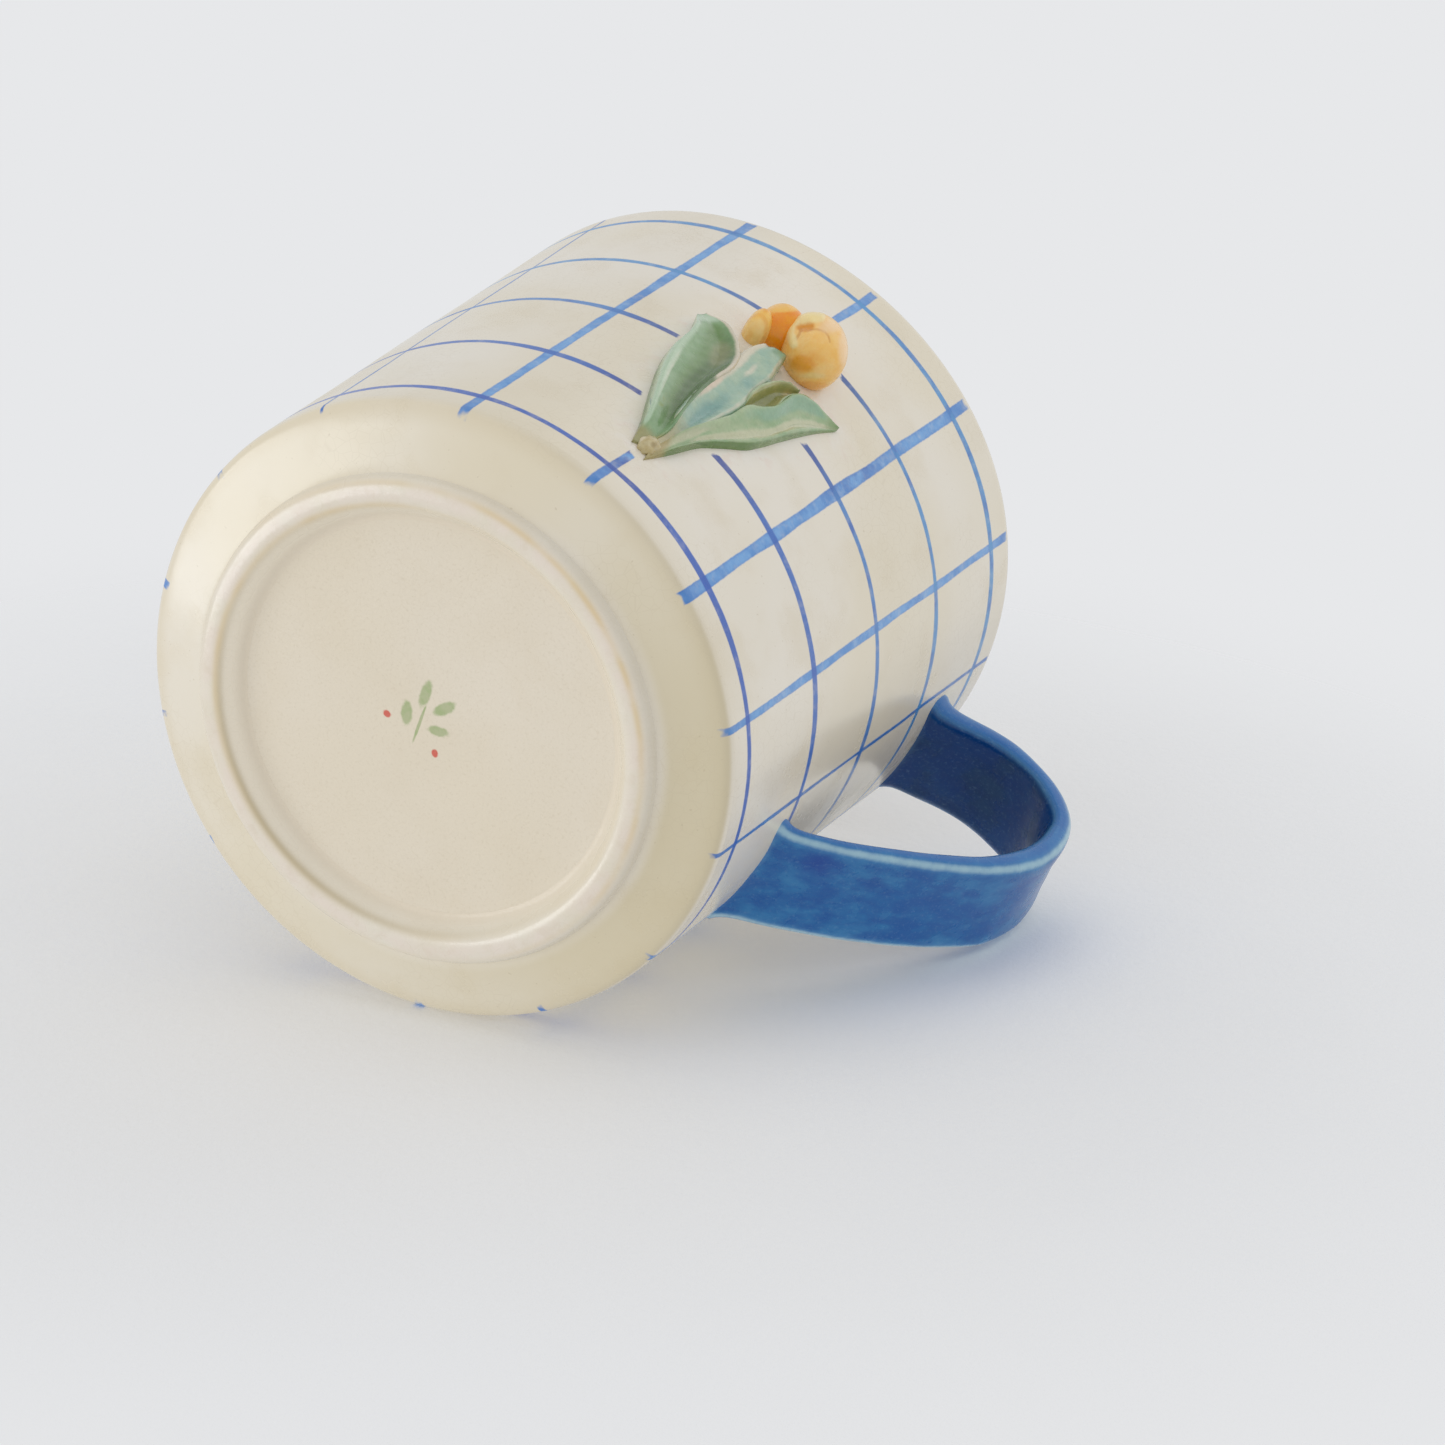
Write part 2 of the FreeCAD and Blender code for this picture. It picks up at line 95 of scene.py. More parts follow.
# ---------------------------------------------------------------- the wall's true surface
wall_lo, wall_hi = node_box("cup_wall")
RIM = float(wall_hi[2])                      # top of the lip
SEAT = float(wall_lo[2])                     # where the wall starts, above the bevel
FLARE = 0.0474
R_FOOT = 40.0
X_MIN, Y_MAX = float(wall_lo[0]), float(wall_hi[1])


def out_of_round(theta, z):
    """A hand-made wall isn't a perfect circle: how far it leaves the round, in mm."""
    ph = np.radians(theta + 166.0)
    zz = np.asarray(z, float) / 40.0
    two = (-0.0008 + 0.0107 * zz) * np.cos(2 * (ph - 0.7626))
    three = 0.010 * zz * np.cos(3 * (ph - 0.1368))
    t = (np.asarray(theta, float) + 180.0) % 360.0 - 180.0
    keep = 1.0 - smooth(t, 22.0, 60.0) * (1.0 - smooth(t, 152.0, 176.0))
    return 40.0 * (two + three) * keep


def wall_radius(theta, z):
    base = R_FOOT + FLARE * np.asarray(z, float)
    r = base + out_of_round(theta, z)
    t = np.radians(theta)
    hand = 0.07 * np.sin(2.0 * t + 0.09 * np.asarray(z) + 0.4) * np.sin(0.075 * np.asarray(z) + 1.0)
    r = r + hand
    # the wall never leaves its box
    c, s = np.cos(t), np.sin(t)
    lim = np.full(np.shape(r), 1e9)
    lim = np.where(c < -0.2, (-X_MIN - 0.03) / np.maximum(-c, 1e-6), lim)
    lim = np.minimum(lim, np.where(s > 0.2, (Y_MAX - 0.03) / np.maximum(s, 1e-6), 1e9))
    over = np.maximum(r - lim, 0.0)
    return r - over


def on_wall(theta, z, h):
    """The point h mm out from the wall at (theta, z)."""
    r = wall_radius(theta, z) + h
    t = np.radians(theta)
    return np.stack([r * np.cos(t), r * np.sin(t), np.asarray(z, float) + 0.0 * r], axis=-1)


# ---------------------------------------------------------------- meshes
def make_object(name, verts_mm, faces, attrs=None, corner=None, sharp=None, material=None):
    me = bpy.data.meshes.new(name)
    me.from_pydata([tuple(v) for v in (np.asarray(verts_mm, float) * MM)], [], [tuple(int(i) for i in f) for f in faces])
    me.validate(verbose=False)
    me.update()
    for k, a in (attrs or {}).items():
        at = me.attributes.new(k, "FLOAT", "POINT")
        at.data.foreach_set("value", np.asarray(a, np.float32).ravel())
    for k, a in (corner or {}).items():
        at = me.attributes.new(k, "FLOAT", "CORNER")
        at.data.foreach_set("value", np.asarray(a, np.float32).ravel())
    me.polygons.foreach_set("use_smooth", [True] * len(me.polygons))
    if sharp is not None:
        flags = np.zeros(len(me.edges), bool)
        ev = np.zeros(len(me.edges) * 2, np.int64)
        me.edges.foreach_get("vertices", ev)
        ev = ev.reshape(-1, 2)
        flags = sharp[ev[:, 0]] & sharp[ev[:, 1]]
        me.edges.foreach_set("use_edge_sharp", flags.tolist()) if hasattr(me.edges[0], "use_edge_sharp") else None
    ob = bpy.data.objects.new(name, me)
    bpy.context.scene.collection.objects.link(ob)
    if material is not None:
        me.materials.append(material)
    return ob


def loft(P, closed_i, closed_j, cap_start=False, cap_end=False):
    """Faces of a grid of rings P[i, j]. closed_i joins the last station to the first, closed_j closes each ring.
    A cap is a fan to one added point. Returns (verts, faces, index grid)."""
    ni, nj = P.shape[:2]
    idx = np.arange(ni * nj).reshape(ni, nj)
    verts = P.reshape(-1, 3)
    ii = np.arange(ni if closed_i else ni - 1)
    jj = np.arange(nj if closed_j else nj - 1)
    I, J = np.meshgrid(ii, jj, indexing="ij")
    I2, J2 = (I + 1) % ni, (J + 1) % nj
    faces = np.stack([idx[I, J], idx[I, J2], idx[I2, J2], idx[I2, J]], axis=-1).reshape(-1, 4).tolist()
    extra = []
    n = len(verts)
    if cap_start:
        extra.append(P[0].mean(axis=0))
        faces += [[n, int(idx[0, (j + 1) % nj]), int(idx[0, j])] for j in range(nj)]
        n += 1
    if cap_end:
        extra.append(P[-1].mean(axis=0))
        faces += [[n, int(idx[-1, j]), int(idx[-1, (j + 1) % nj])] for j in range(nj)]
        n += 1
    if extra:
        verts = np.vstack([verts, np.array(extra)])
    return verts, faces


def face_out(ob):
    """Makes all the normals of a closed mesh point out."""
    import bmesh
    bm = bmesh.new()
    bm.from_mesh(ob.data)
    bmesh.ops.recalc_face_normals(bm, faces=bm.faces)
    if bm.calc_volume(signed=True) < 0:
        bmesh.ops.reverse_faces(bm, faces=bm.faces)
    bm.to_mesh(ob.data)
    bm.free()
    ob.data.update()
    return ob


# ---------------------------------------------------------------- painted grid
AXIAL = [-144.6, -115.9, -89.6, -64.25, -39.3, -15.6, 9.6, 35.4, 61.5, 87.0, 112.6, 138.2, 164.0, 189.6, 215.4]
RINGS = [9.15, 27.2, 45.45, 63.5, 81.6]

TALL_L = [(-91.4, 16.4), (-92.2, 18.5), (-93.6, 21.8), (-95.6, 25.6), (-97.8, 30), (-99.7, 34.2), (-101.2, 38.6), (-101.6, 41.6), (-101.8, 44.2), (-102.4, 46.8), (-103.4, 49.0), (-104.2, 50.6)]
TALL_R = [(-89.9, 17.2), (-89.0, 19.7), (-88.8, 22.4), (-89.8, 26.3), (-90.7, 30.6), (-91.2, 34.5), (-91.4, 38.6), (-91.3, 41.4), (-91.7, 43.8), (-92.7, 46.0), (-94.8, 48.3), (-97.6, 50.2), (-100.6, 51.5), (-103.2, 51.9)]
LOW_LOWER = [(-87.6, 15.0), (-86.7, 17.2), (-85.5, 20.7), (-84.1, 25.5), (-82.4, 28.6), (-80.8, 31.2), (-79.2, 33.9), (-78.0, 37.6), (-77.1, 41.6), (-76.1, 45.4), (-74.8, 49.4), (-73.1, 53.3)]
LOW_UPPER = [(-88.4, 17.5), (-87.4, 22.1), (-86.6, 26.0), (-86.0, 29.5), (-85.2, 34), (-84.9, 38.3), (-83.2, 40.5), (-82.2, 43.1), (-82.2, 46.0), (-82.0, 48.3), (-80.6, 50.2), (-78.4, 51.8), (-75.8, 53.0), (-73.3, 53.7)]
STEM_L = [(-89.0, 18.4), (-89.8, 22.8), (-91.0, 26.5), (-91.9, 30.6), (-92.5, 34.5), (-92.7, 38.4), (-92.6, 41.2), (-92.8, 44.0), (-93.3, 46.6), (-93.3, 49.2), (-92.4, 51.6)]
STEM_R = [(-87.2, 18.2), (-86.2, 22.4), (-85.6, 26.5), (-85.4, 30.9), (-85.0, 35.7), (-85.3, 39.4), (-86.0, 42.3), (-86.1, 45.0), (-86.2, 47.6), (-87.0, 50.2), (-87.8, 53.4)]
CURL_L = [(-84.9, 37.6), (-85.9, 39.4), (-86.5, 41.5), (-86.4, 44.3), (-85.5, 47), (-83.9, 49), (-82.2, 50.7)]
CURL_R = [(-84.2, 37.4), (-83.0, 39.0), (-82.0, 40.9), (-81.6, 43.2), (-82.2, 45.8), (-82.0, 48.2), (-81.6, 50.3)]
NUB = [(-91.3, 16.8), (-89.5, 20.3), (-88.4, 23.5), (-86.5, 20.3), (-86.7, 16.8), (-87.8, 15.1), (-89.4, 15.5)]
BUD = [(-88.3 + 8.6 * math.cos(a), 57.2 + 8.6 * math.sin(a)) for a in np.linspace(0, 2 * math.pi, 25)[:-1]]


def tulip_gap(theta, z):
    """Distance in mm along the wall from the tulip's outline, negative under it."""
    x, y = (np.asarray(theta, float) + 90.0) * 0.724, np.asarray(z, float)
    best = np.full(x.shape, 1e9)
    inside = np.zeros(x.shape, bool)
    for poly in (TALL_L + TALL_R[::-1], LOW_LOWER + LOW_UPPER[::-1], STEM_L + STEM_R[::-1], NUB, BUD):
        p = np.array(poly, float)
        px, py = (p[:, 0] + 90.0) * 0.724, p[:, 1]
        here = np.zeros(x.shape, bool)
        for i in range(len(p)):
            ax, ay, bx, by = px[i - 1], py[i - 1], px[i], py[i]
            dx, dy = bx - ax, by - ay
            t = np.clip(((x - ax) * dx + (y - ay) * dy) / max(dx * dx + dy * dy, 1e-9), 0, 1)
            best = np.minimum(best, np.hypot(x - ax - t * dx, y - ay - t * dy))
            if abs(dy) > 1e-9:
                crosses = ((ay > y) != (by > y)) & (x < dx * (y - ay) / dy + ax)
                here ^= crosses
        inside |= here
    return np.where(inside, -best, best)


NT = 360                                     # columns round the cup
THETA = np.linspace(-180.0, 180.0, NT + 1)


def revolve(name, profile, tags, closed, material, sharp_rows=(), use_wall=True, fields=None):
    """profile: rows of (r, z) in mm. With use_wall, rows off the axis take the wall's true radius less their own depth,
    in a share that grows with r.
    tags: {attribute: per-row values}. closed: the profile is a loop; otherwise it runs from axis to axis."""
    prof = np.array(profile, float)
    nrow = len(prof)
    th = THETA[:-1]
    r, z = prof[:, 0][:, None], prof[:, 1][:, None]
    T = np.broadcast_to(th[None, :], (nrow, NT))
    share = smooth(r, 20.0, 34.0)
    delta = out_of_round(T, np.maximum(z, 0.0)) * share
    t = np.radians(T)
    hand = 0.05 * np.sin(3 * t + 0.11 * z) * share * smooth(np.abs(r), 2, 20)
    R = r + delta + hand
    if use_wall:
        true = wall_radius(T, np.broadcast_to(z, T.shape))
        plain = R_FOOT + FLARE * z
        R = np.where(r > 0, r + (true - plain) * share, 0.0)
    P = np.stack([R * np.cos(t), R * np.sin(t), np.broadcast_to(z, T.shape)], axis=-1)
    sharp = None
    if closed:
        verts, faces = loft(P, True, True)
        rows_of = np.repeat(np.arange(nrow), NT)
        cols_of = np.tile(np.arange(NT), nrow)
    else:
        inner = P[1:-1]
        v, faces = loft(inner, False, True)
        n = len(v)
        top, bottom = P[0].mean(axis=0), P[-1].mean(axis=0)
        verts = np.vstack([v, top[None], bottom[None]])
        last = (nrow - 3) * NT
        faces = faces + [[n, (j + 1) % NT, j] for j in range(NT)]
        faces = faces + [[n + 1, last + j, last + (j + 1) % NT] for j in range(NT)]
        rows_of = np.concatenate([np.repeat(np.arange(1, nrow - 1), NT), [0, nrow - 1]])
        cols_of = np.concatenate([np.tile(np.arange(NT), nrow - 2), [0, 0]])
    attrs = {k: np.asarray(a, float)[rows_of] for k, a in tags.items()}
    attrs["zmm"] = prof[rows_of, 1]
    if sharp_rows:
        sharp = np.isin(rows_of, list(sharp_rows))
        # only edges that run round the cup are seams
    theta_v = th[cols_of]
    for k, f in (fields or {}).items():
        attrs[k] = f(prof[rows_of, 0], prof[rows_of, 1], theta_v)
    attrs["gap"] = np.clip(tulip_gap(theta_v, prof[rows_of, 1]), -3, 30)
    corner = []
    for f in faces:
        tv = [theta_v[i] for i in f]
        if max(tv) - min(tv) > 180.0:
            tv = [a + 360.0 if a < 0 else a for a in tv]
        corner.extend(tv)
    corner = np.array(corner)
    corner = np.where(corner < AXIAL[0], corner + 360.0, corner)
    # a face that straddles the first axial keeps both its sides together
    k = 0
    sizes = [len(f) for f in faces]
    starts = np.concatenate([[0], np.cumsum(sizes)])
    wide = np.array([corner[a:b].max() - corner[a:b].min() > 180 for a, b in zip(starts[:-1], starts[1:])])
    for fi in np.nonzero(wide)[0]:
        a, b = starts[fi], starts[fi + 1]
        seg = corner[a:b]
        corner[a:b] = np.where(seg > 100, seg - 360.0, seg)
    ga = np.interp(corner, [AXIAL[0] - 25.8] + AXIAL, [-1] + list(range(15)))
    ob = make_object(name, verts, faces, attrs, {"ga": ga}, None, material)
    if sharp is not None:
        me = ob.data
        ev = np.zeros(len(me.edges) * 2, np.int64)
        me.edges.foreach_get("vertices", ev)
        ev = ev.reshape(-1, 2)
        row_a, row_b = rows_of[ev[:, 0]], rows_of[ev[:, 1]]
        flag = (row_a == row_b) & np.isin(row_a, list(sharp_rows))
        me.edges.foreach_set("use_edge_sharp", flag.tolist())
    return ob


# ---------------------------------------------------------------- node helper
def lin(r, g, b):
    f = lambda c: (c / 255.0) / 12.92 if c / 255.0 <= 0.04045 else (((c / 255.0) + 0.055) / 1.055) ** 2.4
    return (f(r), f(g), f(b), 1.0)


class Tree:
    def __init__(self, name):
        self.mat = bpy.data.materials.new(name)
        self.mat.use_nodes = True
        self.nt = self.mat.node_tree
        self.nt.nodes.clear()
        self.out = self.nt.nodes.new("ShaderNodeOutputMaterial")
        self.bsdf = self.nt.nodes.new("ShaderNodeBsdfPrincipled")
        self.nt.links.new(self.bsdf.outputs[0], self.out.inputs[0])
        tc = self.nt.nodes.new("ShaderNodeTexCoord")
        sc = self.nt.nodes.new("ShaderNodeVectorMath")
        sc.operation = "SCALE"
        sc.inputs[3].default_value = 1000.0
        self.nt.links.new(tc.outputs["Object"], sc.inputs[0])
        self.mm = sc.outputs[0]
        self.normal = None

    def put(self, socket, value):
        if isinstance(value, (int, float)):
            socket.default_value = float(value)
        elif isinstance(value, tuple):
            socket.default_value = value
        else:
            self.nt.links.new(value, socket)

    def attr(self, name):
        n = self.nt.nodes.new("ShaderNodeAttribute")
        n.attribute_name = name
        return n.outputs["Fac"]

    def m(self, op, a, b=0.0, c=None, clamp=False):
        n = self.nt.nodes.new("ShaderNodeMath")
        n.operation = op
        n.use_clamp = clamp
        self.put(n.inputs[0], a)
        self.put(n.inputs[1], b)
        if c is not None:
            self.put(n.inputs[2], c)
        return n.outputs[0]

    def step(self, x, lo, hi, a=0.0, b=1.0):
        n = self.nt.nodes.new("ShaderNodeMapRange")
        n.interpolation_type = "SMOOTHSTEP"
        self.put(n.inputs[0], x)
        self.put(n.inputs[1], lo)
        self.put(n.inputs[2], hi)
        self.put(n.inputs[3], a)
        self.put(n.inputs[4], b)
        return n.outputs[0]

    def mix(self, f, a, b, kind="MIX"):
        n = self.nt.nodes.new("ShaderNodeMix")
        n.data_type = "RGBA"
        n.blend_type = kind
        self.put(n.inputs[0], f)
        self.put(n.inputs[6], a)
        self.put(n.inputs[7], b)
        return n.outputs[2]

    def noise(self, size, detail=2.0, rough=0.5, stretch=None, offset=0.0, distort=0.0):
        """Noise, about 0..1, whose features are size mm across."""
        n = self.nt.nodes.new("ShaderNodeTexNoise")
        n.inputs["Scale"].default_value = 1.0 / size
        n.inputs["Detail"].default_value = detail
        n.inputs["Roughness"].default_value = rough
        n.inputs["Distortion"].default_value = distort
        v = self.mm
        if stretch or offset:
            mp = self.nt.nodes.new("ShaderNodeMapping")
            mp.inputs["Location"].default_value = (offset, offset * 0.7, -offset)
            mp.inputs["Scale"].default_value = stretch or (1, 1, 1)
            self.nt.links.new(v, mp.inputs[0])
            v = mp.outputs[0]
        self.nt.links.new(v, n.inputs["Vector"])
        return n.outputs[0]

    def cells(self, size):
        """Distance to the nearest crack of a crackle whose cells are size mm across."""
        n = self.nt.nodes.new("ShaderNodeTexVoronoi")
        n.feature = "DISTANCE_TO_EDGE"
        n.inputs["Scale"].default_value = 1.0 / size
        n.inputs["Randomness"].default_value = 0.9
        self.nt.links.new(self.mm, n.inputs["Vector"])
        return n.outputs[0]

    def ramp(self, x, stops, kind="CONSTANT"):
        n = self.nt.nodes.new("ShaderNodeValToRGB")
        cr = n.color_ramp
        cr.interpolation = kind
        while len(cr.elements) < len(stops):
            cr.elements.new(0.5)
        for e, (p, c) in zip(cr.elements, stops):
            e.position = p
            e.color = c if isinstance(c, tuple) else (c, c, c, 1.0)
        self.put(n.inputs[0], x)
        return n.outputs[0]

    def bump(self, height, distance, strength=1.0):
        n = self.nt.nodes.new("ShaderNodeBump")
        n.inputs["Strength"].default_value = strength
        n.inputs["Distance"].default_value = distance * MM
        self.put(n.inputs["Height"], height)
        if self.normal is not None:
            self.nt.links.new(self.normal, n.inputs["Normal"])
        self.normal = n.outputs[0]
        return self.normal

    def done(self, colour, rough, ior=1.5, coat=0.0, coat_rough=0.05, sss=0.0):
        self.put(self.bsdf.inputs["Base Color"], colour)
        self.put(self.bsdf.inputs["Roughness"], rough)
        self.bsdf.inputs["IOR"].default_value = ior
        self.bsdf.inputs["Coat Weight"].default_value = coat
        self.bsdf.inputs["Coat Roughness"].default_value = coat_rough
        self.bsdf.inputs["Coat IOR"].default_value = 1.5
        if self.normal is not None:
            self.nt.links.new(self.normal, self.bsdf.inputs["Normal"])
            self.nt.links.new(self.normal, self.bsdf.inputs["Coat Normal"])
        return self.mat


# ---------------------------------------------------------------- cream glaze, with its painted grid
CREAM = lin(233, 222, 198)
CREAM_DEEP = lin(220, 205, 175)
CREAM_PALE = lin(238, 230, 215)


def cream_material():
    t = Tree("cream_glaze")
    ga, z, gap, paint, matte = t.attr("ga"), t.attr("zmm"), t.attr("gap"), t.attr("paint"), t.attr("matte")
    pool_and_shade = t.attr("pool_and_shade")

    big = t.noise(34, 2)
    mid = t.noise(9, 3, 0.55, offset=31)
    fine = t.noise(1.0, 3, 0.6, offset=7)
    body = t.mix(t.step(big, 0.35, 0.7), CREAM, CREAM_PALE)
    body = t.mix(t.m("MULTIPLY", t.step(mid, 0.45, 0.75), 0.35), body, CREAM_DEEP)
    # darker, yellower cream: glaze pooled thick, and painted shade inside the cup, in the foot recess and on the
    # bevel's outer strip
    body = t.mix(t.m("MULTIPLY", pool_and_shade, 0.75), body, CREAM_DEEP)
    # one side of the bevel darker and yellower: pooled glaze and painted shade
    body = t.mix(t.m("MULTIPLY", t.attr("pool_and_side_shade"), 0.62), body, lin(208, 193, 152))
    # crackle, only just seen
    crack = t.step(t.cells(1.35), 0.0, 0.05, 1.0, 0.0)
    crack_where = t.step(t.noise(16, 1, offset=63), 0.42, 0.62)
    body = t.mix(t.m("MULTIPLY", t.m("MULTIPLY", crack, crack_where), 0.16), body, lin(196, 181, 152))
    # iron specks
    speck = t.step(t.noise(0.55, 1, 0.5, offset=91), 0.735, 0.80)
    body = t.mix(t.m("MULTIPLY", speck, 0.25), body, lin(178, 160, 128))

    # milky halo round the relief, and a warm blush in it
    halo = t.m("MULTIPLY", t.step(gap, 0.2, 5.5, 1.0, 0.0), paint)
    halo = t.m("MULTIPLY", halo, t.step(t.noise(3.2, 2, 0.6, offset=12), 0.35, 0.65, 0.25, 1.0))
    body = t.mix(t.m("MULTIPLY", halo, 0.55), body, lin(239, 233, 224))
    blush = t.m("MULTIPLY", halo, t.step(t.noise(2.4, 2, 0.6, offset=44), 0.52, 0.7))
    body = t.mix(t.m("MULTIPLY", blush, 0.5), body, lin(232, 207, 190))

    # brush lines: each coordinate is 0, 1, 2... on a line
    wave = t.m("SUBTRACT", t.noise(11, 2, 0.5, offset=5), 0.5)
    wave2 = t.m("SUBTRACT", t.noise(13, 2, 0.5, offset=77), 0.5)
    rag = t.m("SUBTRACT", t.noise(0.7, 2, 0.6, offset=3), 0.5)
    gz = t.m("DIVIDE", t.m("SUBTRACT", z, RINGS[0]), (RINGS[-1] - RINGS[0]) / 4.0)
    gz = t.m("ADD", gz, t.m("MULTIPLY", wave, 0.024))
    gaw = t.m("ADD", ga, t.m("MULTIPLY", wave2, 0.026))
    ia = t.m("ROUND", gaw)
    iz = t.m("ROUND", gz)
    da = t.m("MULTIPLY", t.m("ABSOLUTE", t.m("SUBTRACT", gaw, ia)), 18.6)
    dz = t.m("MULTIPLY", t.m("ABSOLUTE", t.m("SUBTRACT", gz, iz)), 18.1)
    # half width of each upright line, mm
    half = [0.22, 0.68, 0.62, 0.86, 0.60, 0.36, 0.60, 0.46, 0.72, 0.5, 0.64, 0.42, 0.66, 0.5, 0.22]
    stops = [(max(0.0, (i - 0.5) / 15.0 + 0.5 / 15.0), h) for i, h in enumerate(half)]
    wa = t.ramp(t.m("DIVIDE", t.m("ADD", ia, 0.51), 15.0), [((i + 0.0) / 15.0, h) for i, h in enumerate(half)])
    # line widths swell and narrow a little along each line
    press = t.noise(14, 1, offset=53)
    wa = t.m("MULTIPLY", wa, t.step(press, 0.3, 0.7, 0.86, 1.1))
    wz = t.step(t.noise(17, 1, offset=23), 0.3, 0.7, 0.46, 0.66)
    edge = t.m("MULTIPLY", rag, 0.16)
    ma = t.step(t.m("SUBTRACT", t.m("ADD", da, edge), wa), -0.11, 0.10, 1.0, 0.0)
    mz = t.step(t.m("SUBTRACT", t.m("ADD", dz, t.m("MULTIPLY", edge, 0.6)), wz), -0.13, 0.13, 1.0, 0.0)
    # where lines stop
    zr = t.m("ADD", z, t.m("MULTIPLY", t.m("SUBTRACT", t.noise(2.2, 2, offset=15), 0.5), 2.6))
    lim_low = t.step(zr, 3.9, 4.5)
    lim_high = t.step(zr, 86.2, 86.9, 1.0, 0.0)
    in_range = t.m("MULTIPLY", lim_low, lim_high)
    ma = t.m("MULTIPLY", ma, in_range)
    ring_ok = t.m("MULTIPLY", t.step(iz, -0.5, -0.4), t.step(iz, 4.4, 4.5, 1.0, 0.0))
    mz = t.m("MULTIPLY", mz, ring_ok)
    gapr = t.m("ADD", gap, t.m("MULTIPLY", rag, 0.8))
    clear = t.m("MULTIPLY", t.step(gapr, 0.9, 1.35), paint)
    ma = t.m("MULTIPLY", ma, clear)
    mz = t.m("MULTIPLY", mz, clear)
    near = t.m("MULTIPLY", t.step(gap, 2.0, 11.0, 1.0, 0.0), 0.9)

    # colour: thin wash in the middle of a stroke, pooled at its edges, ends and crossings
    wash = t.noise(3.0, 3, 0.65, offset=19)
    pool_a = t.step(t.m("DIVIDE", da, wa), 0.45, 1.0)
    sky = t.mix(t.step(wash, 0.35, 0.68), lin(114, 170, 226), lin(78, 143, 211))
    colour_a = t.mix(t.m("MULTIPLY", pool_a, 0.45), sky, lin(72, 126, 200))
    thin = t.step(wa, 0.38, 0.56, 1.0, 0.0)
    colour_a = t.mix(t.m("MULTIPLY", thin, 0.75), colour_a, lin(40, 104, 186))
    ends = t.m("MAXIMUM", t.step(z, 4.0, 9.5, 1.0, 0.0), t.step(z, 81.0, 87.0, 0.0, 1.0))
    colour_a = t.mix(t.m("MULTIPLY", ends, 0.45), colour_a, lin(62, 112, 190))
    colour_a = t.mix(t.m("MULTIPLY", near, t.step(wash, 0.3, 0.6)), colour_a, lin(46, 84, 172))
    low = t.step(z, 12.0, 70.0)
    colour_z = t.mix(low, lin(22, 90, 188), lin(68, 148, 208))
    colour_z = t.mix(t.m("MULTIPLY", t.step(wash, 0.42, 0.72), 0.7), colour_z, lin(20, 84, 180))
    dark_left = t.m("MULTIPLY", near, t.m("MULTIPLY", t.step(ga, 1.9, 1.2, 1.0, 0.0), 1.0))
    colour_z = t.mix(t.m("MULTIPLY", near, 0.8), colour_z, lin(20, 44, 142))
    cross = t.m("MULTIPLY", ma, t.step(dz, 0.2, 1.1, 1.0, 0.0))
    colour_a = t.mix(t.m("MULTIPLY", cross, 0.7), colour_a, lin(66, 116, 194))
    strength = t.step(t.noise(1.6, 2, 0.6, offset=29), 0.2, 0.55, 0.80, 1.0)
    body = t.mix(t.m("MULTIPLY", ma, strength), body, colour_a)
    body = t.mix(t.m("MULTIPLY", mz, t.m("MULTIPLY", strength, 0.96)), body, colour_z)

    # a small painted sprig on the bottom, inside the foot
    def leaf(cx, cy, angle, a, b):
        mp = t.nt.nodes.new("ShaderNodeMapping")
        mp.vector_type = "TEXTURE"
        mp.inputs["Location"].default_value = (cx, cy, 2.8)
        mp.inputs["Rotation"].default_value = (0, 0, math.radians(angle))
        mp.inputs["Scale"].default_value = (a, b, 1.0)
        t.nt.links.new(t.mm, mp.inputs[0])
        ln = t.nt.nodes.new("ShaderNodeVectorMath")
        ln.operation = "LENGTH"
        t.nt.links.new(mp.outputs[0], ln.inputs[0])
        d = t.m("ADD", ln.outputs["Value"], t.m("MULTIPLY", rag, 0.5))
        return t.step(d, 0.68, 1.14, 1.0, 0.0)
    sprig = leaf(-2.7, 1.3, 62, 1.75, 0.85)
    for args in ((1.0, -2.7, 118, 1.9, 0.85), (-2.0, -2.6, 78, 2.1, 0.8), (1.9, 0.4, 150, 1.6, 0.75)):
        sprig = t.m("MAXIMUM", sprig, leaf(*args))
    stalk = leaf(-0.6, 1.3, 78, 3.1, 0.24)
    green = t.mix(t.step(t.noise(1.5, 2, offset=8), 0.35, 0.65), lin(160, 178, 122), lin(176, 184, 140))
    body = t.mix(t.m("MULTIPLY", t.m("MULTIPLY", t.m("MAXIMUM", sprig, stalk), matte), 0.9), body, green)
    berry = t.m("MAXIMUM", leaf(-4.7, 3.3, 0, 0.62, 0.5), leaf(3.1, 3.2, 40, 0.6, 0.5))
    body = t.mix(t.m("MULTIPLY", berry, t.m("MULTIPLY", matte, 0.95)), body, lin(214, 92, 76))

    body = t.mix(t.m("MULTIPLY", t.m("SUBTRACT", 1.0, t.m("MAXIMUM", t.m("MAXIMUM", sprig, stalk), berry)), t.m("MULTIPLY", matte, 0.55)), body, lin(231, 219, 200))
    fleck = t.step(t.noise(0.42, 2, 0.6, offset=33), 0.52, 0.72)
    body = t.mix(t.m("MULTIPLY", t.m("MULTIPLY", fleck, matte), 0.16), body, lin(196, 180, 152))

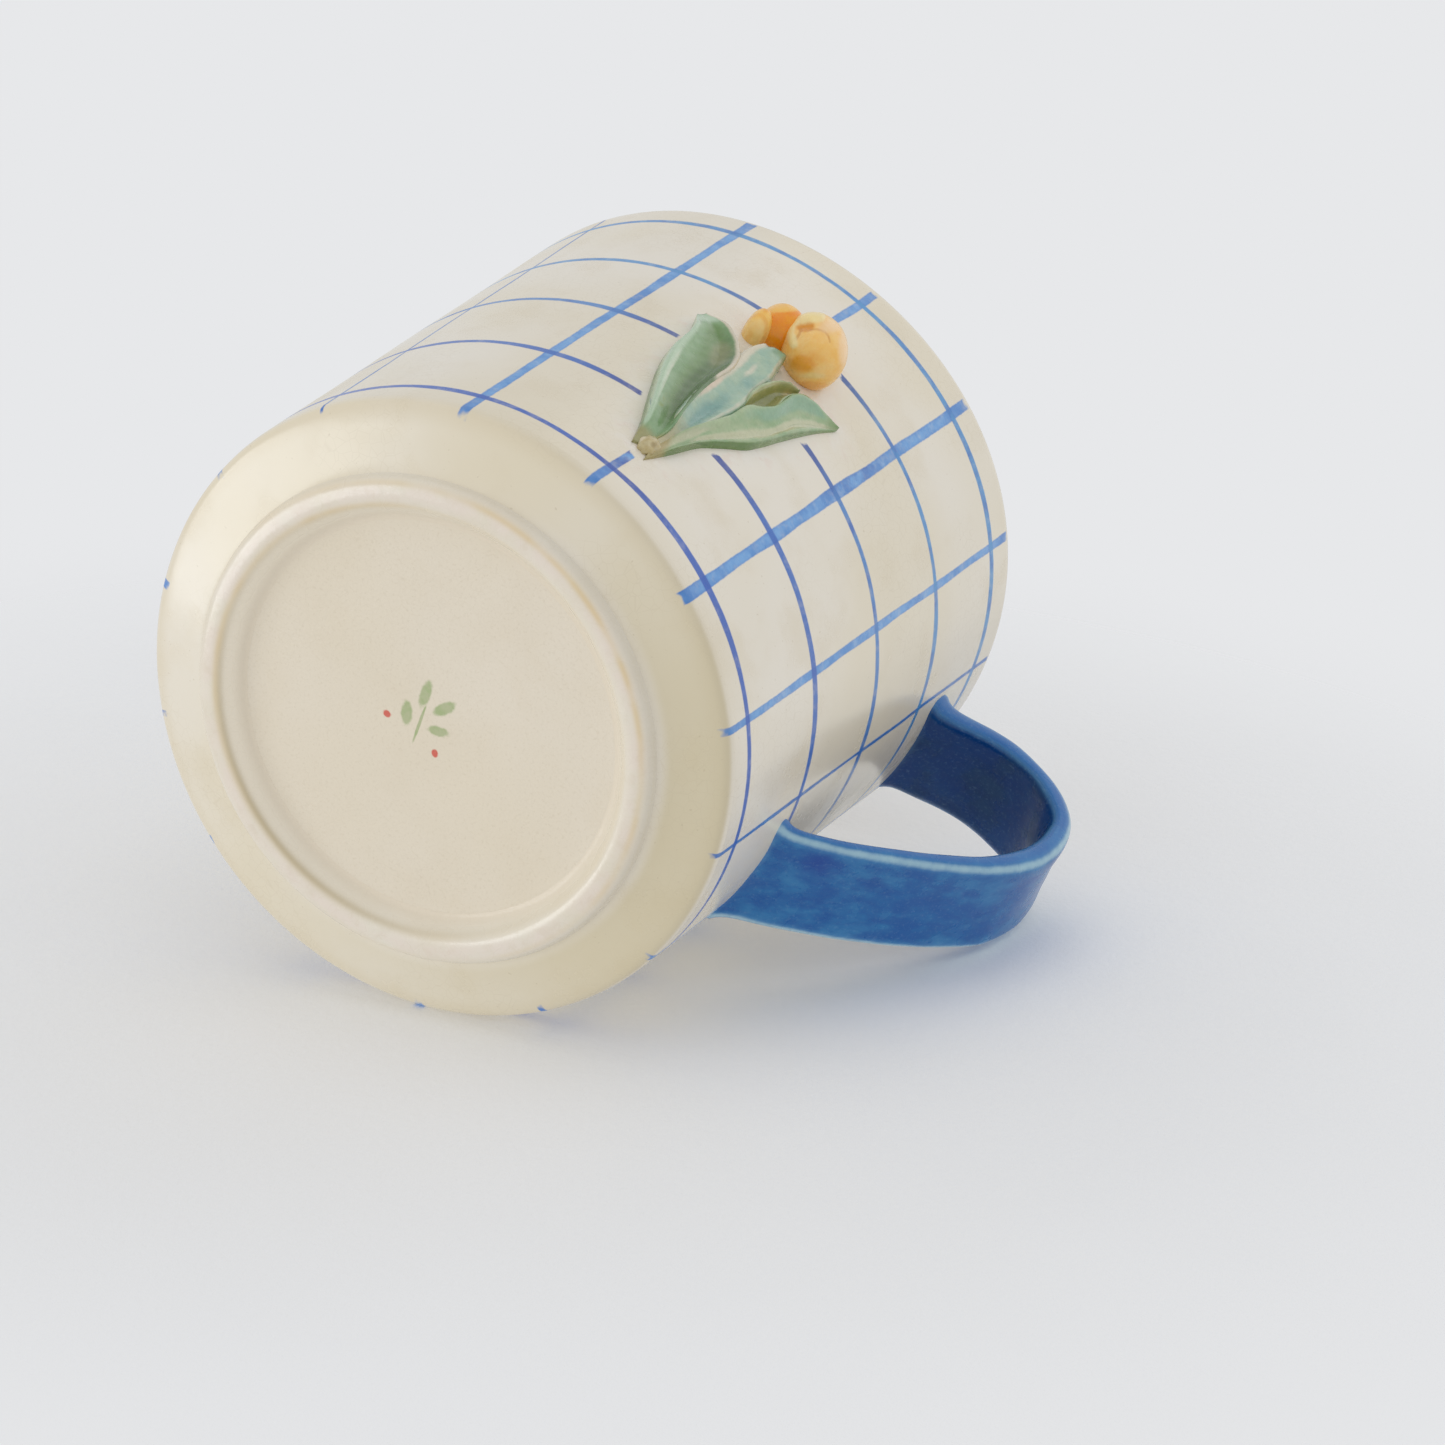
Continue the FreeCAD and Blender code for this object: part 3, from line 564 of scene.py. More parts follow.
    # surface: glassy on the wall, drier on the bottom
    rough = t.step(mid, 0.3, 0.75, 0.16, 0.27)
    rough = t.m("ADD", rough, t.m("MULTIPLY", fine, 0.06))
    rough = t.m("ADD", rough, t.m("MULTIPLY", matte, 0.42))
    rough = t.m("ADD", rough, t.m("MULTIPLY", t.m("MAXIMUM", ma, mz), 0.08))
    t.bump(t.noise(7.0, 1, 0.4, offset=41), 0.06)
    t.bump(t.noise(1.7, 1, 0.4, offset=47), 0.004)
    grain = t.m("MULTIPLY", t.noise(0.42, 2, 0.6, offset=2), t.m("ADD", t.m("MULTIPLY", matte, 0.9), 0.04))
    t.bump(grain, 0.05)
    t.bump(t.m("MULTIPLY", t.m("MAXIMUM", ma, mz), strength), 0.02)
    return t.done(body, rough, coat=0.20, coat_rough=0.12)


def layered(name, base, base2, layers, rough=(0.16, 0.3), bumps=((4.0, 0.06), (1.1, 0.02)), coat=0.4, coat_rough=0.08,
            blotch=3.0, grain=0.5, crackle=0.0, rough_layers=(), dirt=0.10):
    """A pooled glaze: two tones that drift into each other, then layers (attribute, low, high, colour, amount, noise size, noise share)."""
    t = Tree(name)
    body = t.mix(t.step(t.noise(blotch, 3, 0.6, offset=11), 0.32, 0.68), base, base2)
    for i, (attr, lo, hi, colour, amount, size, share) in enumerate(layers):
        x = t.m("ADD", t.attr(attr), t.m("MULTIPLY", t.m("SUBTRACT", t.noise(size, 3, 0.6, offset=17 + 9 * i), 0.5), share))
        mask = t.step(x, min(lo, hi), max(lo, hi), 0.0 if lo < hi else 1.0, 1.0 if lo < hi else 0.0)
        body = t.mix(t.m("MULTIPLY", mask, amount), body, colour)
    fleck = t.step(t.noise(grain, 2, 0.6, offset=71), 0.3, 0.75)
    body = t.mix(t.m("MULTIPLY", fleck, 0.16), body, lin(255, 255, 250), "SOFT_LIGHT")
    body = t.mix(t.m("MULTIPLY", t.step(t.noise(grain * 1.7, 2, 0.6, offset=57), 0.5, 0.8), dirt), body, lin(40, 40, 40))
    if crackle:
        crack = t.step(t.cells(crackle), 0.0, 0.05, 1.0, 0.0)
        body = t.mix(t.m("MULTIPLY", crack, 0.10), body, lin(150, 130, 100))
    rr = t.step(t.noise(2.6, 2, 0.6, offset=37), 0.3, 0.7, rough[0], rough[1])
    for attr, lo, hi, add in rough_layers:
        rr = t.m("ADD", rr, t.m("MULTIPLY", t.step(t.attr(attr), lo, hi), add))
    for i, (size, amount) in enumerate(bumps):
        t.bump(t.noise(size, 2, 0.5, offset=61 + 13 * i), amount)
    return t.done(body, rr, coat=coat, coat_rough=coat_rough)


cream = cream_material()

# ---------------------------------------------------------------- cup wall
SEAM_Z = 5.4
lip = 1.72                                   # half thickness of the lip
outer_z = np.linspace(SEAM_Z, RIM - 2.1, 150)
profile, paint, pool_and_shade = [], [], []


def add(r, z, p=0.0, d=0.0):
    profile.append((r, z))
    paint.append(p)
    pool_and_shade.append(d)


# the wall's foot, the lip and the inside are darkened through pool_and_shade: pooled glaze with painted shade
for zz in outer_z:
    add(R_FOOT + FLARE * zz, zz, 1.0, 0.25 * float(smooth(zz, 9.0, 5.0)) if zz < 9 else 0.0)
r_out = R_FOOT + FLARE * (RIM - 2.1)
r_in = r_out - 2 * lip
for a in np.linspace(0.12, math.pi - 0.12, 19):
    add((r_out + r_in) / 2 + lip * math.cos(a) ** 1 * (1.0 if abs(math.cos(a)) > 0 else 1.0), RIM - 2.1 + 2.1 * math.sin(a) ** 0.92, 0.0 if a > 0.5 else 1.0, 0.1)
inner = [(r_in, RIM - 2.1), (40.15, 80.0), (39.0, 62.0), (37.9, 44.0), (36.8, 27.0), (36.1, 17.0), (35.75, 13.0), (35.2, 10.7), (34.1, 9.15), (32.8, 8.3), (31.6, 8.02)]
for q in catmull(inner, 70)[1:]:
    add(q[0], q[1], 0.0, 0.12)
first_hidden = len(profile) - 1
add(31.6, 7.2)
add(31.6, SEAM_Z)
add(36.0, SEAM_Z)
prof = np.array(profile)
wall = revolve("mug_wall", profile, {"paint": paint, "pool_and_shade": pool_and_shade, "matte": [0.0] * len(profile)}, True, cream,
               sharp_rows=(0, first_hidden, len(profile) - 2, len(profile) - 1))
face_out(wall)
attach(wall, "root")
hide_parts("cup_wall")

# ---------------------------------------------------------------- base slab: floor, bevel outside, recess below
profile, paint, pool_and_shade, matte = [], [], [], []


def add2(r, z, p=0.0, d=0.0, mt=0.0):
    profile.append((r, z))
    paint.append(p)
    pool_and_shade.append(d)
    matte.append(mt)


# the cup's floor and the recess floor below carry painted shade through pool_and_shade
add2(0.0, 8.0, 0, 0.35)
for rr_ in np.linspace(1.0, 31.6, 26):
    add2(rr_, 8.0 + 0.02 * (rr_ / 31.6) ** 3, 0, 0.35)
seam_a = len(profile) - 1
add2(31.6, 7.2)
seam_b = len(profile)
add2(31.6, SEAM_Z)
seam_c = len(profile)
add2(36.0, SEAM_Z)
seam_d = len(profile)
arris = catmull([(R_FOOT + FLARE * SEAM_Z, SEAM_Z), (40.16, 4.95), (39.98, 4.5), (39.6, 4.13), (39.0, 3.84), (37.6, 3.38),
                 (36.0, 2.93), (34.4, 2.47), (33.0, 2.06), (32.2, 1.80), (31.75, 1.62)], 46)
for q in arris:
    # rim_shade: painted shade on the bevel's outer strip next to the arris
    rim_shade = 0.8 * float(smooth(q[0], 37.2, 39.4)) * float(1 - smooth(q[0], 39.9, 40.2)) if q[0] < 40.2 else 0.0
    add2(q[0], q[1], 1.0 if q[0] > 38.9 else 0.0, 0.22 + 0.5 * rim_shade)
seam_e = len(profile) - 1
add2(31.75, 2.4)
seam_f = len(profile)
add2(25.9, 3.4)
seam_g = len(profile)
for rr_ in np.concatenate([np.linspace(25.6, 23.6, 9), np.linspace(23.0, 20.0, 6), np.linspace(19.0, 1.0, 14)]):
    add2(rr_, 2.80 - 0.08 * float(smooth(rr_, 24.4, 26.2)) * 1.24 + 0.05 * math.sin(rr_ * 0.33) * float(1 - smooth(rr_, 22.5, 25.4)), 0, 0.42, 1.0)
add2(0.0, 2.80, 0, 0.42, 1.0)
def turned(theta, centre, width):
    """A soft window round the cup, 1 at centre, falling away over width degrees."""
    d = (theta - centre + 180.0) % 360.0 - 180.0
    return np.exp(-(d / width) ** 2)


# the glaze pooled on one side of the bevel, with painted shade on that side
POOL_AND_SIDE_SHADE = {"pool_and_side_shade": lambda r, z, th: smooth(r, 31.9, 33.5) * (1 - smooth(z, 4.3, 5.0)) * (turned(th, -22, 55) + 0.25 * turned(th, 60, 40))}
base = revolve("mug_base", profile, {"paint": paint, "pool_and_shade": pool_and_shade, "matte": matte}, False, cream, fields=POOL_AND_SIDE_SHADE,
               sharp_rows=(seam_a, seam_b, seam_c, seam_d, seam_e, seam_f, seam_g))
face_out(base)
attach(base, "root")
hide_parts("base_slab")

# ---------------------------------------------------------------- foot ring
profile, rowtag = [], []
ring_pts = [(31.75, 1.62), (31.62, 1.30), (31.45, 0.86), (31.15, 0.46), (30.6, 0.18), (29.9, 0.04), (29.3, 0.0), (28.7, 0.06),
            (28.2, 0.26), (27.75, 0.66), (27.35, 1.15), (26.95, 1.70), (26.62, 2.12), (26.30, 2.44), (25.95, 2.63), (25.6, 2.72)]
ring_curve = catmull(ring_pts, 44)
ring_curve[:, 1] = np.maximum(ring_curve[:, 1], 0.0)
for q in ring_curve:
    profile.append((q[0], q[1]))
s = np.linspace(0, 1, len(profile))
profile += [(25.9, 3.4), (31.75, 2.4)]
crest = np.exp(-((ring_curve[:, 0] - 29.7) / 1.2) ** 2)
pad = lambda a: np.concatenate([a, [0.0, 0.0]])


def off_centre(r, theta):
    """The ring was trimmed a little off the axis."""
    return np.hypot(r * np.cos(np.radians(theta)) + 0.42, r * np.sin(np.radians(theta)) - 0.39)


FOOT_FIELDS = {
    "gold_out": lambda r, z, th: np.exp(-((off_centre(r, th) - 30.95) / 0.42) ** 2) * (0.25 + 0.75 * turned(th, -65, 62)),
    "gold_in": lambda r, z, th: np.exp(-((off_centre(r, th) - 28.15) / 0.45) ** 2) * (0.12 + 0.88 * turned(th, 180, 48)),
    "inner": lambda r, z, th: 1.0 - smooth(r, 25.9, 27.3),
    # painted light on the ring's inner slope, on its shaded side
    "lit_slope": lambda r, z, th: (1.0 - smooth(r, 27.6, 28.6)) * smooth(r, 25.6, 26.6) * (turned(th, 155, 70)),
    # painted shade: a dark band on the inner slope turned away from the window light
    "slope_in_shade": lambda r, z, th: np.exp(-((off_centre(r, th) - 27.7) / 0.42) ** 2) * (0.10 + 0.90 * turned(th, 108, 50))}


def foot_material():
    t = Tree("foot_glaze")
    crest_, gi, go, slope_shade = t.attr("crest"), t.attr("gold_in"), t.attr("gold_out"), t.attr("slope_in_shade")
    body = t.mix(t.step(t.noise(14, 2, offset=3), 0.35, 0.65), lin(229, 219, 199), lin(232, 224, 207))
    blush = t.m("MULTIPLY", crest_, t.step(t.noise(5, 3, 0.6, offset=21), 0.3, 0.62))
    body = t.mix(t.m("MULTIPLY", blush, 0.55), body, lin(236, 220, 208))
    streak = t.step(t.noise(2.0, 3, 0.6, offset=35), 0.5, 0.7)
    body = t.mix(t.m("MULTIPLY", t.m("MULTIPLY", streak, crest_), 0.22), body, lin(214, 196, 172))
    # painted light: the shaded side of the inner slope made paler
    body = t.mix(t.attr("lit_slope"), body, lin(250, 240, 221))
    # painted shade on the inner slope turned away from the window light
    body = t.mix(t.m("MULTIPLY", slope_shade, 0.75), body, lin(190, 172, 132))
    inner = t.attr("inner")
    body = t.mix(inner, body, lin(230, 217, 195))
    where_in = t.step(t.noise(13, 2, 0.6, offset=49), 0.36, 0.56, 0.45, 1.0)
    body = t.mix(t.m("MULTIPLY", t.m("MULTIPLY", gi, where_in), 0.70), body, lin(220, 190, 128))
    where_out = t.step(t.noise(11, 2, 0.6, offset=87), 0.38, 0.58, 0.4, 1.0)
    body = t.mix(t.m("MULTIPLY", t.m("MULTIPLY", go, where_out), 0.62), body, lin(222, 192, 132))
    crack = t.step(t.cells(1.6), 0.0, 0.04, 1.0, 0.0)
    body = t.mix(t.m("MULTIPLY", crack, 0.06), body, lin(190, 170, 140))
    rough = t.m("ADD", t.step(t.noise(4, 2, offset=29), 0.3, 0.7, 0.20, 0.34), t.m("MULTIPLY", inner, 0.34))
    t.bump(t.noise(5.0, 2, offset=41), 0.06)
    t.bump(t.noise(1.3, 3, 0.6, offset=55), 0.03)
    t.bump(t.noise(0.4, 2, 0.6, offset=59), 0.008)
    return t.done(body, rough, coat=0.35, coat_rough=0.10)


foot = revolve("mug_foot_ring", profile, {"crest": pad(crest)}, True, foot_material(), fields=FOOT_FIELDS, sharp_rows=(0, len(ring_curve) - 1, len(ring_curve), len(ring_curve) + 1))
face_out(foot)
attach(foot, "root")
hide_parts("foot_ring")

# ---------------------------------------------------------------- handle
strap_lo, strap_hi = node_box("handle_strap")
NEAR_OUT = [(38.5, 22.3), (41.5, 25.0), (46.8, 29.7), (50.2, 33.2), (53.8, 37.4), (57.4, 41.6), (60.6, 45.8), (63.7, 50.5), (65.9, 55.2), (67.3, 59.8), (67.6, 65.4), (66.7, 70.4), (64.9, 73.9), (62, 76.6), (58.3, 78.2), (54.2, 79.0), (50.7, 78.4), (47.6, 77.1), (44.9, 75.9), (42.6, 75.3), (40.6, 74.9)]
NEAR_IN = [(38.5, 25.0), (41.6, 27.6), (44.3, 30.2), (47.4, 33.5), (51.2, 38.1), (55.2, 43.3), (59.1, 48.8), (61.5, 53.1), (63.4, 58.4), (64.2, 63.3), (64, 67.6), (63.2, 70.1), (61.2, 72.4), (58.4, 74.3), (55.3, 74.9), (51.7, 74.5), (48.6, 73.1), (45.9, 71.5), (43.5, 70.4), (40.6, 69.4)]
FAR_OUT = [(38.5, 22.9), (42.2, 25.9), (47.3, 30.4), (54.1, 37.7), (61.2, 46.7), (66.6, 55.4), (68.3, 59.7), (69.2, 65), (69.3, 69.4), (68.7, 74.4), (66.9, 78.6), (63.8, 81.2), (60, 82.6), (56, 82.9), (52, 82.2), (48.5, 80.6), (45.0, 79.0), (42.6, 78.3), (40.6, 77.9)]
FAR_IN = [(38.5, 25.6), (41.8, 28.2), (44.7, 31.0), (51.6, 38.8), (57.8, 47.5), (62.7, 55.5), (64.9, 60.5), (66.0, 65.5), (66.1, 69.5), (65.3, 73.2), (63.5, 76.2), (61.2, 77.8), (58.1, 78.5), (55.5, 78.7), (52.7, 78.3), (49.6, 77.0), (46.5, 75.2), (43.5, 73.8), (40.6, 72.6)]
NS, NC = 150, 72
edges = [catmull(c, NS) for c in (NEAR_OUT, NEAR_IN, FAR_OUT, FAR_IN)]
HALF_W = 8.0
ang = np.linspace(0, 2 * math.pi, NC, endpoint=False)
# a flat strap's section: a rounded box, parametrised so that points gather at its rims
half_t = 2.05
rc = 1.75
corners = []
per = []


def rounded(w, h, r, n):
    pts = []
    for cx, cy, a0 in ((w - r, h - r, 0), (-(w - r), h - r, 90), (-(w - r), -(h - r), 180), (w - r, -(h - r), 270)):
        for a in np.radians(np.linspace(a0, a0 + 90, 9)):
            pts.append((cx + r * math.cos(a), cy + r * math.sin(a)))
    pts = np.array(pts + pts[:1])
    out = []
    for a, b in zip(pts[:-1], pts[1:]):
        d = np.linalg.norm(b - a)
        k = max(1, int(round(d / 0.55)))
        out += [a + (b - a) * i / k for i in range(k) if d > 1e-6]
    return np.array(out)


section = rounded(HALF_W, half_t, rc, NC)
NC = len(section)
u, v = section[:, 0] / HALF_W, section[:, 1] / half_t
rail_t = np.linspace(0, 1, NS)
P = np.zeros((NS, NC, 3))
lean = np.interp((edges[0][:, 1] + edges[3][:, 1]) / 2, [26, 74], [0.9, -1.1])
for i in range(NS):
    no, ni_, fo, fi_ = (e[i] for e in edges)
    nw, fw = (1 - u) / 2, (1 + u) / 2
    ow, iw = (1 + v) / 2, (1 - v) / 2
    xz = (nw * ow)[:, None] * no + (nw * iw)[:, None] * ni_ + (fw * ow)[:, None] * fo + (fw * iw)[:, None] * fi_
    y = lean[i] + u * HALF_W
    P[i, :, 0], P[i, :, 1], P[i, :, 2] = xz[:, 0], y, xz[:, 1]
centre = P.mean(axis=1, keepdims=True)
# the middle of the outside is pressed in slightly, the inside crowned; a wandering hand-made thickness
normal_out = (edges[0] + edges[2]) / 2 - (edges[1] + edges[3]) / 2
normal_out /= np.linalg.norm(normal_out, axis=1)[:, None]
dish = np.where(v > 0.6, -0.22 * np.exp(-(u / 0.62) ** 4), 0.0)
dish = dish + np.where(v < -0.6, -0.12 * np.exp(-(u / 0.62) ** 4), 0.0)
hand = 0.10 * wobble(rail_t[:, None] * 60, u[None, :] * 8, v[None, :] * 2, 1.0) * np.abs(v)[None, :]
P[:, :, 0] += normal_out[:, 0:1] * (dish[None, :] + hand)
P[:, :, 2] += normal_out[:, 1:2] * (dish[None, :] + hand)
# the clay spreads a little where it is joined to the wall
rad = np.hypot(P[:, :, 0], P[:, :, 1])
th_h = np.degrees(np.arctan2(P[:, :, 1], P[:, :, 0]))
stand = rad - wall_radius(th_h, P[:, :, 2])
flare = np.exp(-np.clip(stand, 0, 50) / 0.9) * (stand > -3)
off = P - centre
off_len = np.linalg.norm(off, axis=2, keepdims=True)
unit = off / np.maximum(off_len, 1e-6)
spread = 0.75 + 0.9 * np.abs(u)[None, :] ** 6
P += unit * (flare * spread)[:, :, None] * 0.8
P[:, :, 0] = np.minimum(P[:, :, 0], float(strap_hi[0]) - 0.04)
rad = np.hypot(P[:, :, 0], P[:, :, 1])
stand = rad - wall_radius(np.degrees(np.arctan2(P[:, :, 1], P[:, :, 0])), P[:, :, 2])
U = np.broadcast_to(u[None, :], (NS, NC))
V = np.broadcast_to(v[None, :], (NS, NC))
# rims of the section: where the glaze runs thin, and where a painted highlight runs along the edges
d_out = np.hypot(np.abs(section[:, 0]) - (HALF_W - 0.55), section[:, 1] - (half_t - 0.40))
d_in = np.hypot(np.abs(section[:, 0]) - (HALF_W - 0.40), section[:, 1] + (half_t - 0.45))
rim_thin_glint_mask = np.broadcast_to(np.maximum(np.exp(-(d_out / 1.05) ** 2), 0.62 * np.exp(-(d_in / 0.55) ** 2))[None, :], (NS, NC))
shaded_inside_face = np.broadcast_to(np.clip(-v * 1.2, 0, 1)[None, :], (NS, NC)) * np.clip((1.02 - np.abs(U)) * 9, 0, 1)
edge_face = np.broadcast_to(smooth(np.abs(section[:, 0]), HALF_W - 0.9, HALF_W - 0.1)[None, :], (NS, NC))
lower_joint = np.exp(-((rail_t[:, None] * 100 - 12.0) / 3.4) ** 2) * np.exp(-((U + 0.55) / 0.28) ** 2) * (V > 0)
verts, faces = loft(P, False, True, True, True)


def pad2(a):
    return np.concatenate([np.asarray(a, float).ravel(), [float(np.mean(a[0])), float(np.mean(a[-1]))]])


at = {"rim_thin_glint": pad2(rim_thin_glint_mask), "inside": pad2(shaded_inside_face), "edge": pad2(edge_face), "pool": pad2(lower_joint),
      "join": pad2(np.clip(1.0 - np.clip(stand, 0, 9) / 3.0, 0, 1)), "along": pad2(np.broadcast_to(rail_t[:, None], (NS, NC))),
      "across": pad2(U)}


def blue_material():
    t = Tree("blue_glaze")
    rim_thin_glint, inside_shade, edge, pool, join = (t.attr(k) for k in ("rim_thin_glint", "inside", "edge", "pool", "join"))
    along, across = t.attr("along"), t.attr("across")
    # brushed clouds that follow the strap
    comb = t.nt.nodes.new("ShaderNodeCombineXYZ")
    t.put(comb.inputs[0], t.m("MULTIPLY", along, 15.0))
    t.put(comb.inputs[1], t.m("MULTIPLY", across, 3.2))
    t.put(comb.inputs[2], t.m("MULTIPLY", inside_shade, 9.0))
    streak = t.nt.nodes.new("ShaderNodeTexNoise")
    streak.inputs["Scale"].default_value = 1.0
    streak.inputs["Detail"].default_value = 4.0
    streak.inputs["Roughness"].default_value = 0.6
    t.nt.links.new(comb.outputs[0], streak.inputs["Vector"])
    cloud = t.noise(7.0, 4, 0.62, offset=14)
    mixv = t.m("ADD", t.m("MULTIPLY", streak.outputs[0], 0.55), t.m("MULTIPLY", cloud, 0.45))
    body = t.mix(t.step(mixv, 0.40, 0.60), lin(26, 90, 160), lin(38, 112, 172))
    body = t.mix(t.m("MULTIPLY", t.step(mixv, 0.50, 0.66), 0.6), body, lin(60, 132, 184))
    deep_ = t.step(t.noise(6.0, 3, 0.6, offset=68), 0.52, 0.72)
    body = t.mix(t.m("MULTIPLY", deep_, 0.35), body, lin(18, 76, 150))
    body = t.mix(t.m("MULTIPLY", pool, 0.75), body, lin(22, 62, 150))
    # painted shade: the strap's inside face, towards the wall, in a much darker blue
    body = t.mix(t.m("MULTIPLY", inside_shade, 0.80), body, t.mix(t.step(cloud, 0.4, 0.62), lin(5, 50, 110), lin(4, 42, 88)))
    # glaze runs thin on the rims and shows pale, with a painted highlight along them
    rr = t.m("ADD", rim_thin_glint, t.m("MULTIPLY", t.m("SUBTRACT", t.noise(2.2, 3, 0.6, offset=25), 0.5), 0.45))
    body = t.mix(t.m("MULTIPLY", t.m("MULTIPLY", edge, t.step(rr, 0.35, 0.7, 1.0, 0.0)), 0.55), body, lin(54, 118, 186))
    body = t.mix(t.m("MULTIPLY", t.step(rr, 0.05, 0.70), 0.42), body, lin(84, 148, 196))
    body = t.mix(t.m("MULTIPLY", t.step(rr, 0.50, 1.10), 0.85), body, lin(176, 210, 220))
    body = t.mix(t.m("MULTIPLY", t.step(t.m("ADD", join, t.m("MULTIPLY", cloud, 0.3)), 0.95, 1.2), 0.22), body, lin(120, 160, 200))
    fleck = t.step(t.noise(0.45, 2, 0.6, offset=71), 0.52, 0.8)
    body = t.mix(t.m("MULTIPLY", fleck, 0.14), body, lin(150, 190, 215))
    rough = t.step(cloud, 0.3, 0.7, 0.20, 0.34)
    t.bump(mixv, 0.16)
    t.bump(t.noise(2.0, 2, offset=39), 0.04)
    t.bump(t.noise(0.5, 2, offset=49), 0.008)
    t.bsdf.inputs["Specular IOR Level"].default_value = 0.32
    return t.done(body, rough, coat=0.04, coat_rough=0.12)


handle = make_object("mug_handle", verts, faces, at, None, None, blue_material())
face_out(handle)
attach(handle, "root")
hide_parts("handle_strap", "joint_coil_lower", "joint_coil_upper")


# ---------------------------------------------------------------- tulip in relief
def leaf_piece(name, left, right, heights, ns, material, nodes, bulge=None, tag=None, crumple=0.07, seed=1.0, nc=56):
    """A leaf lofted between two edges on the wall. heights(t) gives the section's control points (s across, h out) at t along it."""
    L, R_ = catmull(left, ns), catmull(right, ns)
    ts = np.linspace(0, 1, ns)
    P = np.zeros((ns, nc, 3))
    S = np.zeros((ns, nc))
    H = np.zeros((ns, nc))
    for i, t_ in enumerate(ts):
        ctl = np.array(heights(t_), float)
        width = max(np.hypot((R_[i, 0] - L[i, 0]) * 0.724, R_[i, 1] - L[i, 1]), 0.25)
        ctl_mm = ctl.copy()
        ctl_mm[:, 0] *= width
        sec = catmull(ctl_mm, nc, closed=True)
        s_, h_ = sec[:, 0] / width, sec[:, 1]
        th = L[i, 0] + (R_[i, 0] - L[i, 0]) * s_
        zz = L[i, 1] + (R_[i, 1] - L[i, 1]) * s_
        up = np.clip(h_, 0, 1)
        h_ = h_ + up * crumple * wobble(th * 2.2, zz * 1.6, 0, seed)
        P[i] = on_wall(th, zz, h_)
        S[i], H[i] = s_, h_
    verts, faces = loft(P, False, True, True, True)
    T = np.broadcast_to(ts[:, None], S.shape)
    at = {"s": pad2(np.clip(S, 0, 1)), "t": pad2(T), "h": pad2(H)}
    for k, f in (tag or {}).items():
        at[k] = pad2(f(np.clip(S, 0, 1), T, H))
    ob = make_object(name, verts, faces, at, None, None, material)
    face_out(ob)
    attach(ob, "root")
    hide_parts(*nodes)
    return ob


SINK = -0.45


def tall_heights(t_):
    a = float(smooth(t_, -0.02, 0.22)) * (1 - 0.45 * float(smooth(t_, 0.86, 1.0)))
    left_rim = 0.35 + 1.95 * a
    right_rim = 0.35 + 2.15 * a
    tip = float(smooth(t_, 0.80, 0.97))
    hollow = 0.25 + (0.65 + 0.35 * float(smooth(t_, 0.6, 0.85)) + 0.9 * tip) * a
    mid_s = 0.70 - 0.15 * tip
    return [(0.02, SINK), (-0.05, -0.10), (-0.03, 0.25 + 0.6 * a), (0.01, 0.35 + 1.45 * a), (0.07, left_rim), (0.20, left_rim * 0.93 - 0.06 * a),
            (0.42, hollow + 0.42 * (left_rim - hollow)), (mid_s, hollow), (0.84, hollow + 0.40 * (right_rim - hollow)), (0.93, right_rim * 0.94),
            (0.985, right_rim), (1.02, 0.35 + 1.2 * a), (1.05, 0.1 + 0.3 * a), (1.0, SINK), (0.5, SINK - 0.1)]


def low_heights(t_):
    a = float(smooth(t_, -0.02, 0.18)) * (1 - 0.78 * float(smooth(t_, 0.74, 1.0)))
    wave = 0.30 * math.sin(t_ * 13.0)
    up = 0.3 + (1.9 + 0.25 * math.sin(t_ * 9 + 1)) * a
    lo = 0.2 + (1.0 + 0.5 * wave) * a
    return [(0.02, SINK), (-0.05, -0.10), (-0.02, 0.1 + 0.4 * a), (0.03, lo * 0.85), (0.09, lo), (0.2, lo * 0.78), (0.34, 0.25 + 0.85 * a + 0.2 * wave), (0.55, 0.3 + 1.05 * a),
            (0.74, 0.3 + 1.55 * a), (0.9, up), (0.98, up * 0.93), (1.02, 0.3 + 0.9 * a), (1.0, SINK), (0.5, SINK - 0.1)]


def stem_heights(t_):
    a = float(smooth(t_, -0.05, 0.25))
    top = float(smooth(t_, 0.72, 1.0))
    pool = math.exp(-((t_ - 0.36) / 0.2) ** 2)
    left_r = 0.4 + 1.75 * a + 0.35 * top
    right_r = 0.4 + 1.4 * a + 0.6 * top
    mid = 0.5 + 1.35 * a - 0.70 * pool + 0.7 * top
    return [(0.0, SINK), (-0.02, 0.5 * a), (0.03, left_r * 0.72), (0.12, left_r), (0.26, left_r * 0.93), (0.44, mid + 0.25 * (left_r - mid)), (0.60, mid),
            (0.76, mid + 0.55 * (right_r - mid)), (0.9, right_r), (0.985, right_r * 0.72), (1.02, 0.5 * a), (1.0, SINK), (0.5, SINK - 0.1)]


def curl_heights(t_):
    a = float(smooth(t_, -0.02, 0.2)) * (1 - 0.4 * float(smooth(t_, 0.8, 1.0)))
    rim_l = 0.4 + 2.1 * a
    rim_r = 0.4 + 1.7 * a
    bowl = 0.35 + 0.55 * a
    return [(0.0, SINK), (-0.04, 0.5 + 0.5 * a), (0.02, rim_l * 0.85), (0.11, rim_l), (0.22, rim_l * 0.82), (0.36, bowl + 0.25 * a), (0.58, bowl), (0.76, bowl + 0.35 * a),
            (0.88, rim_r * 0.92), (0.96, rim_r), (1.03, rim_r * 0.7), (1.0, SINK), (0.5, SINK - 0.1)]


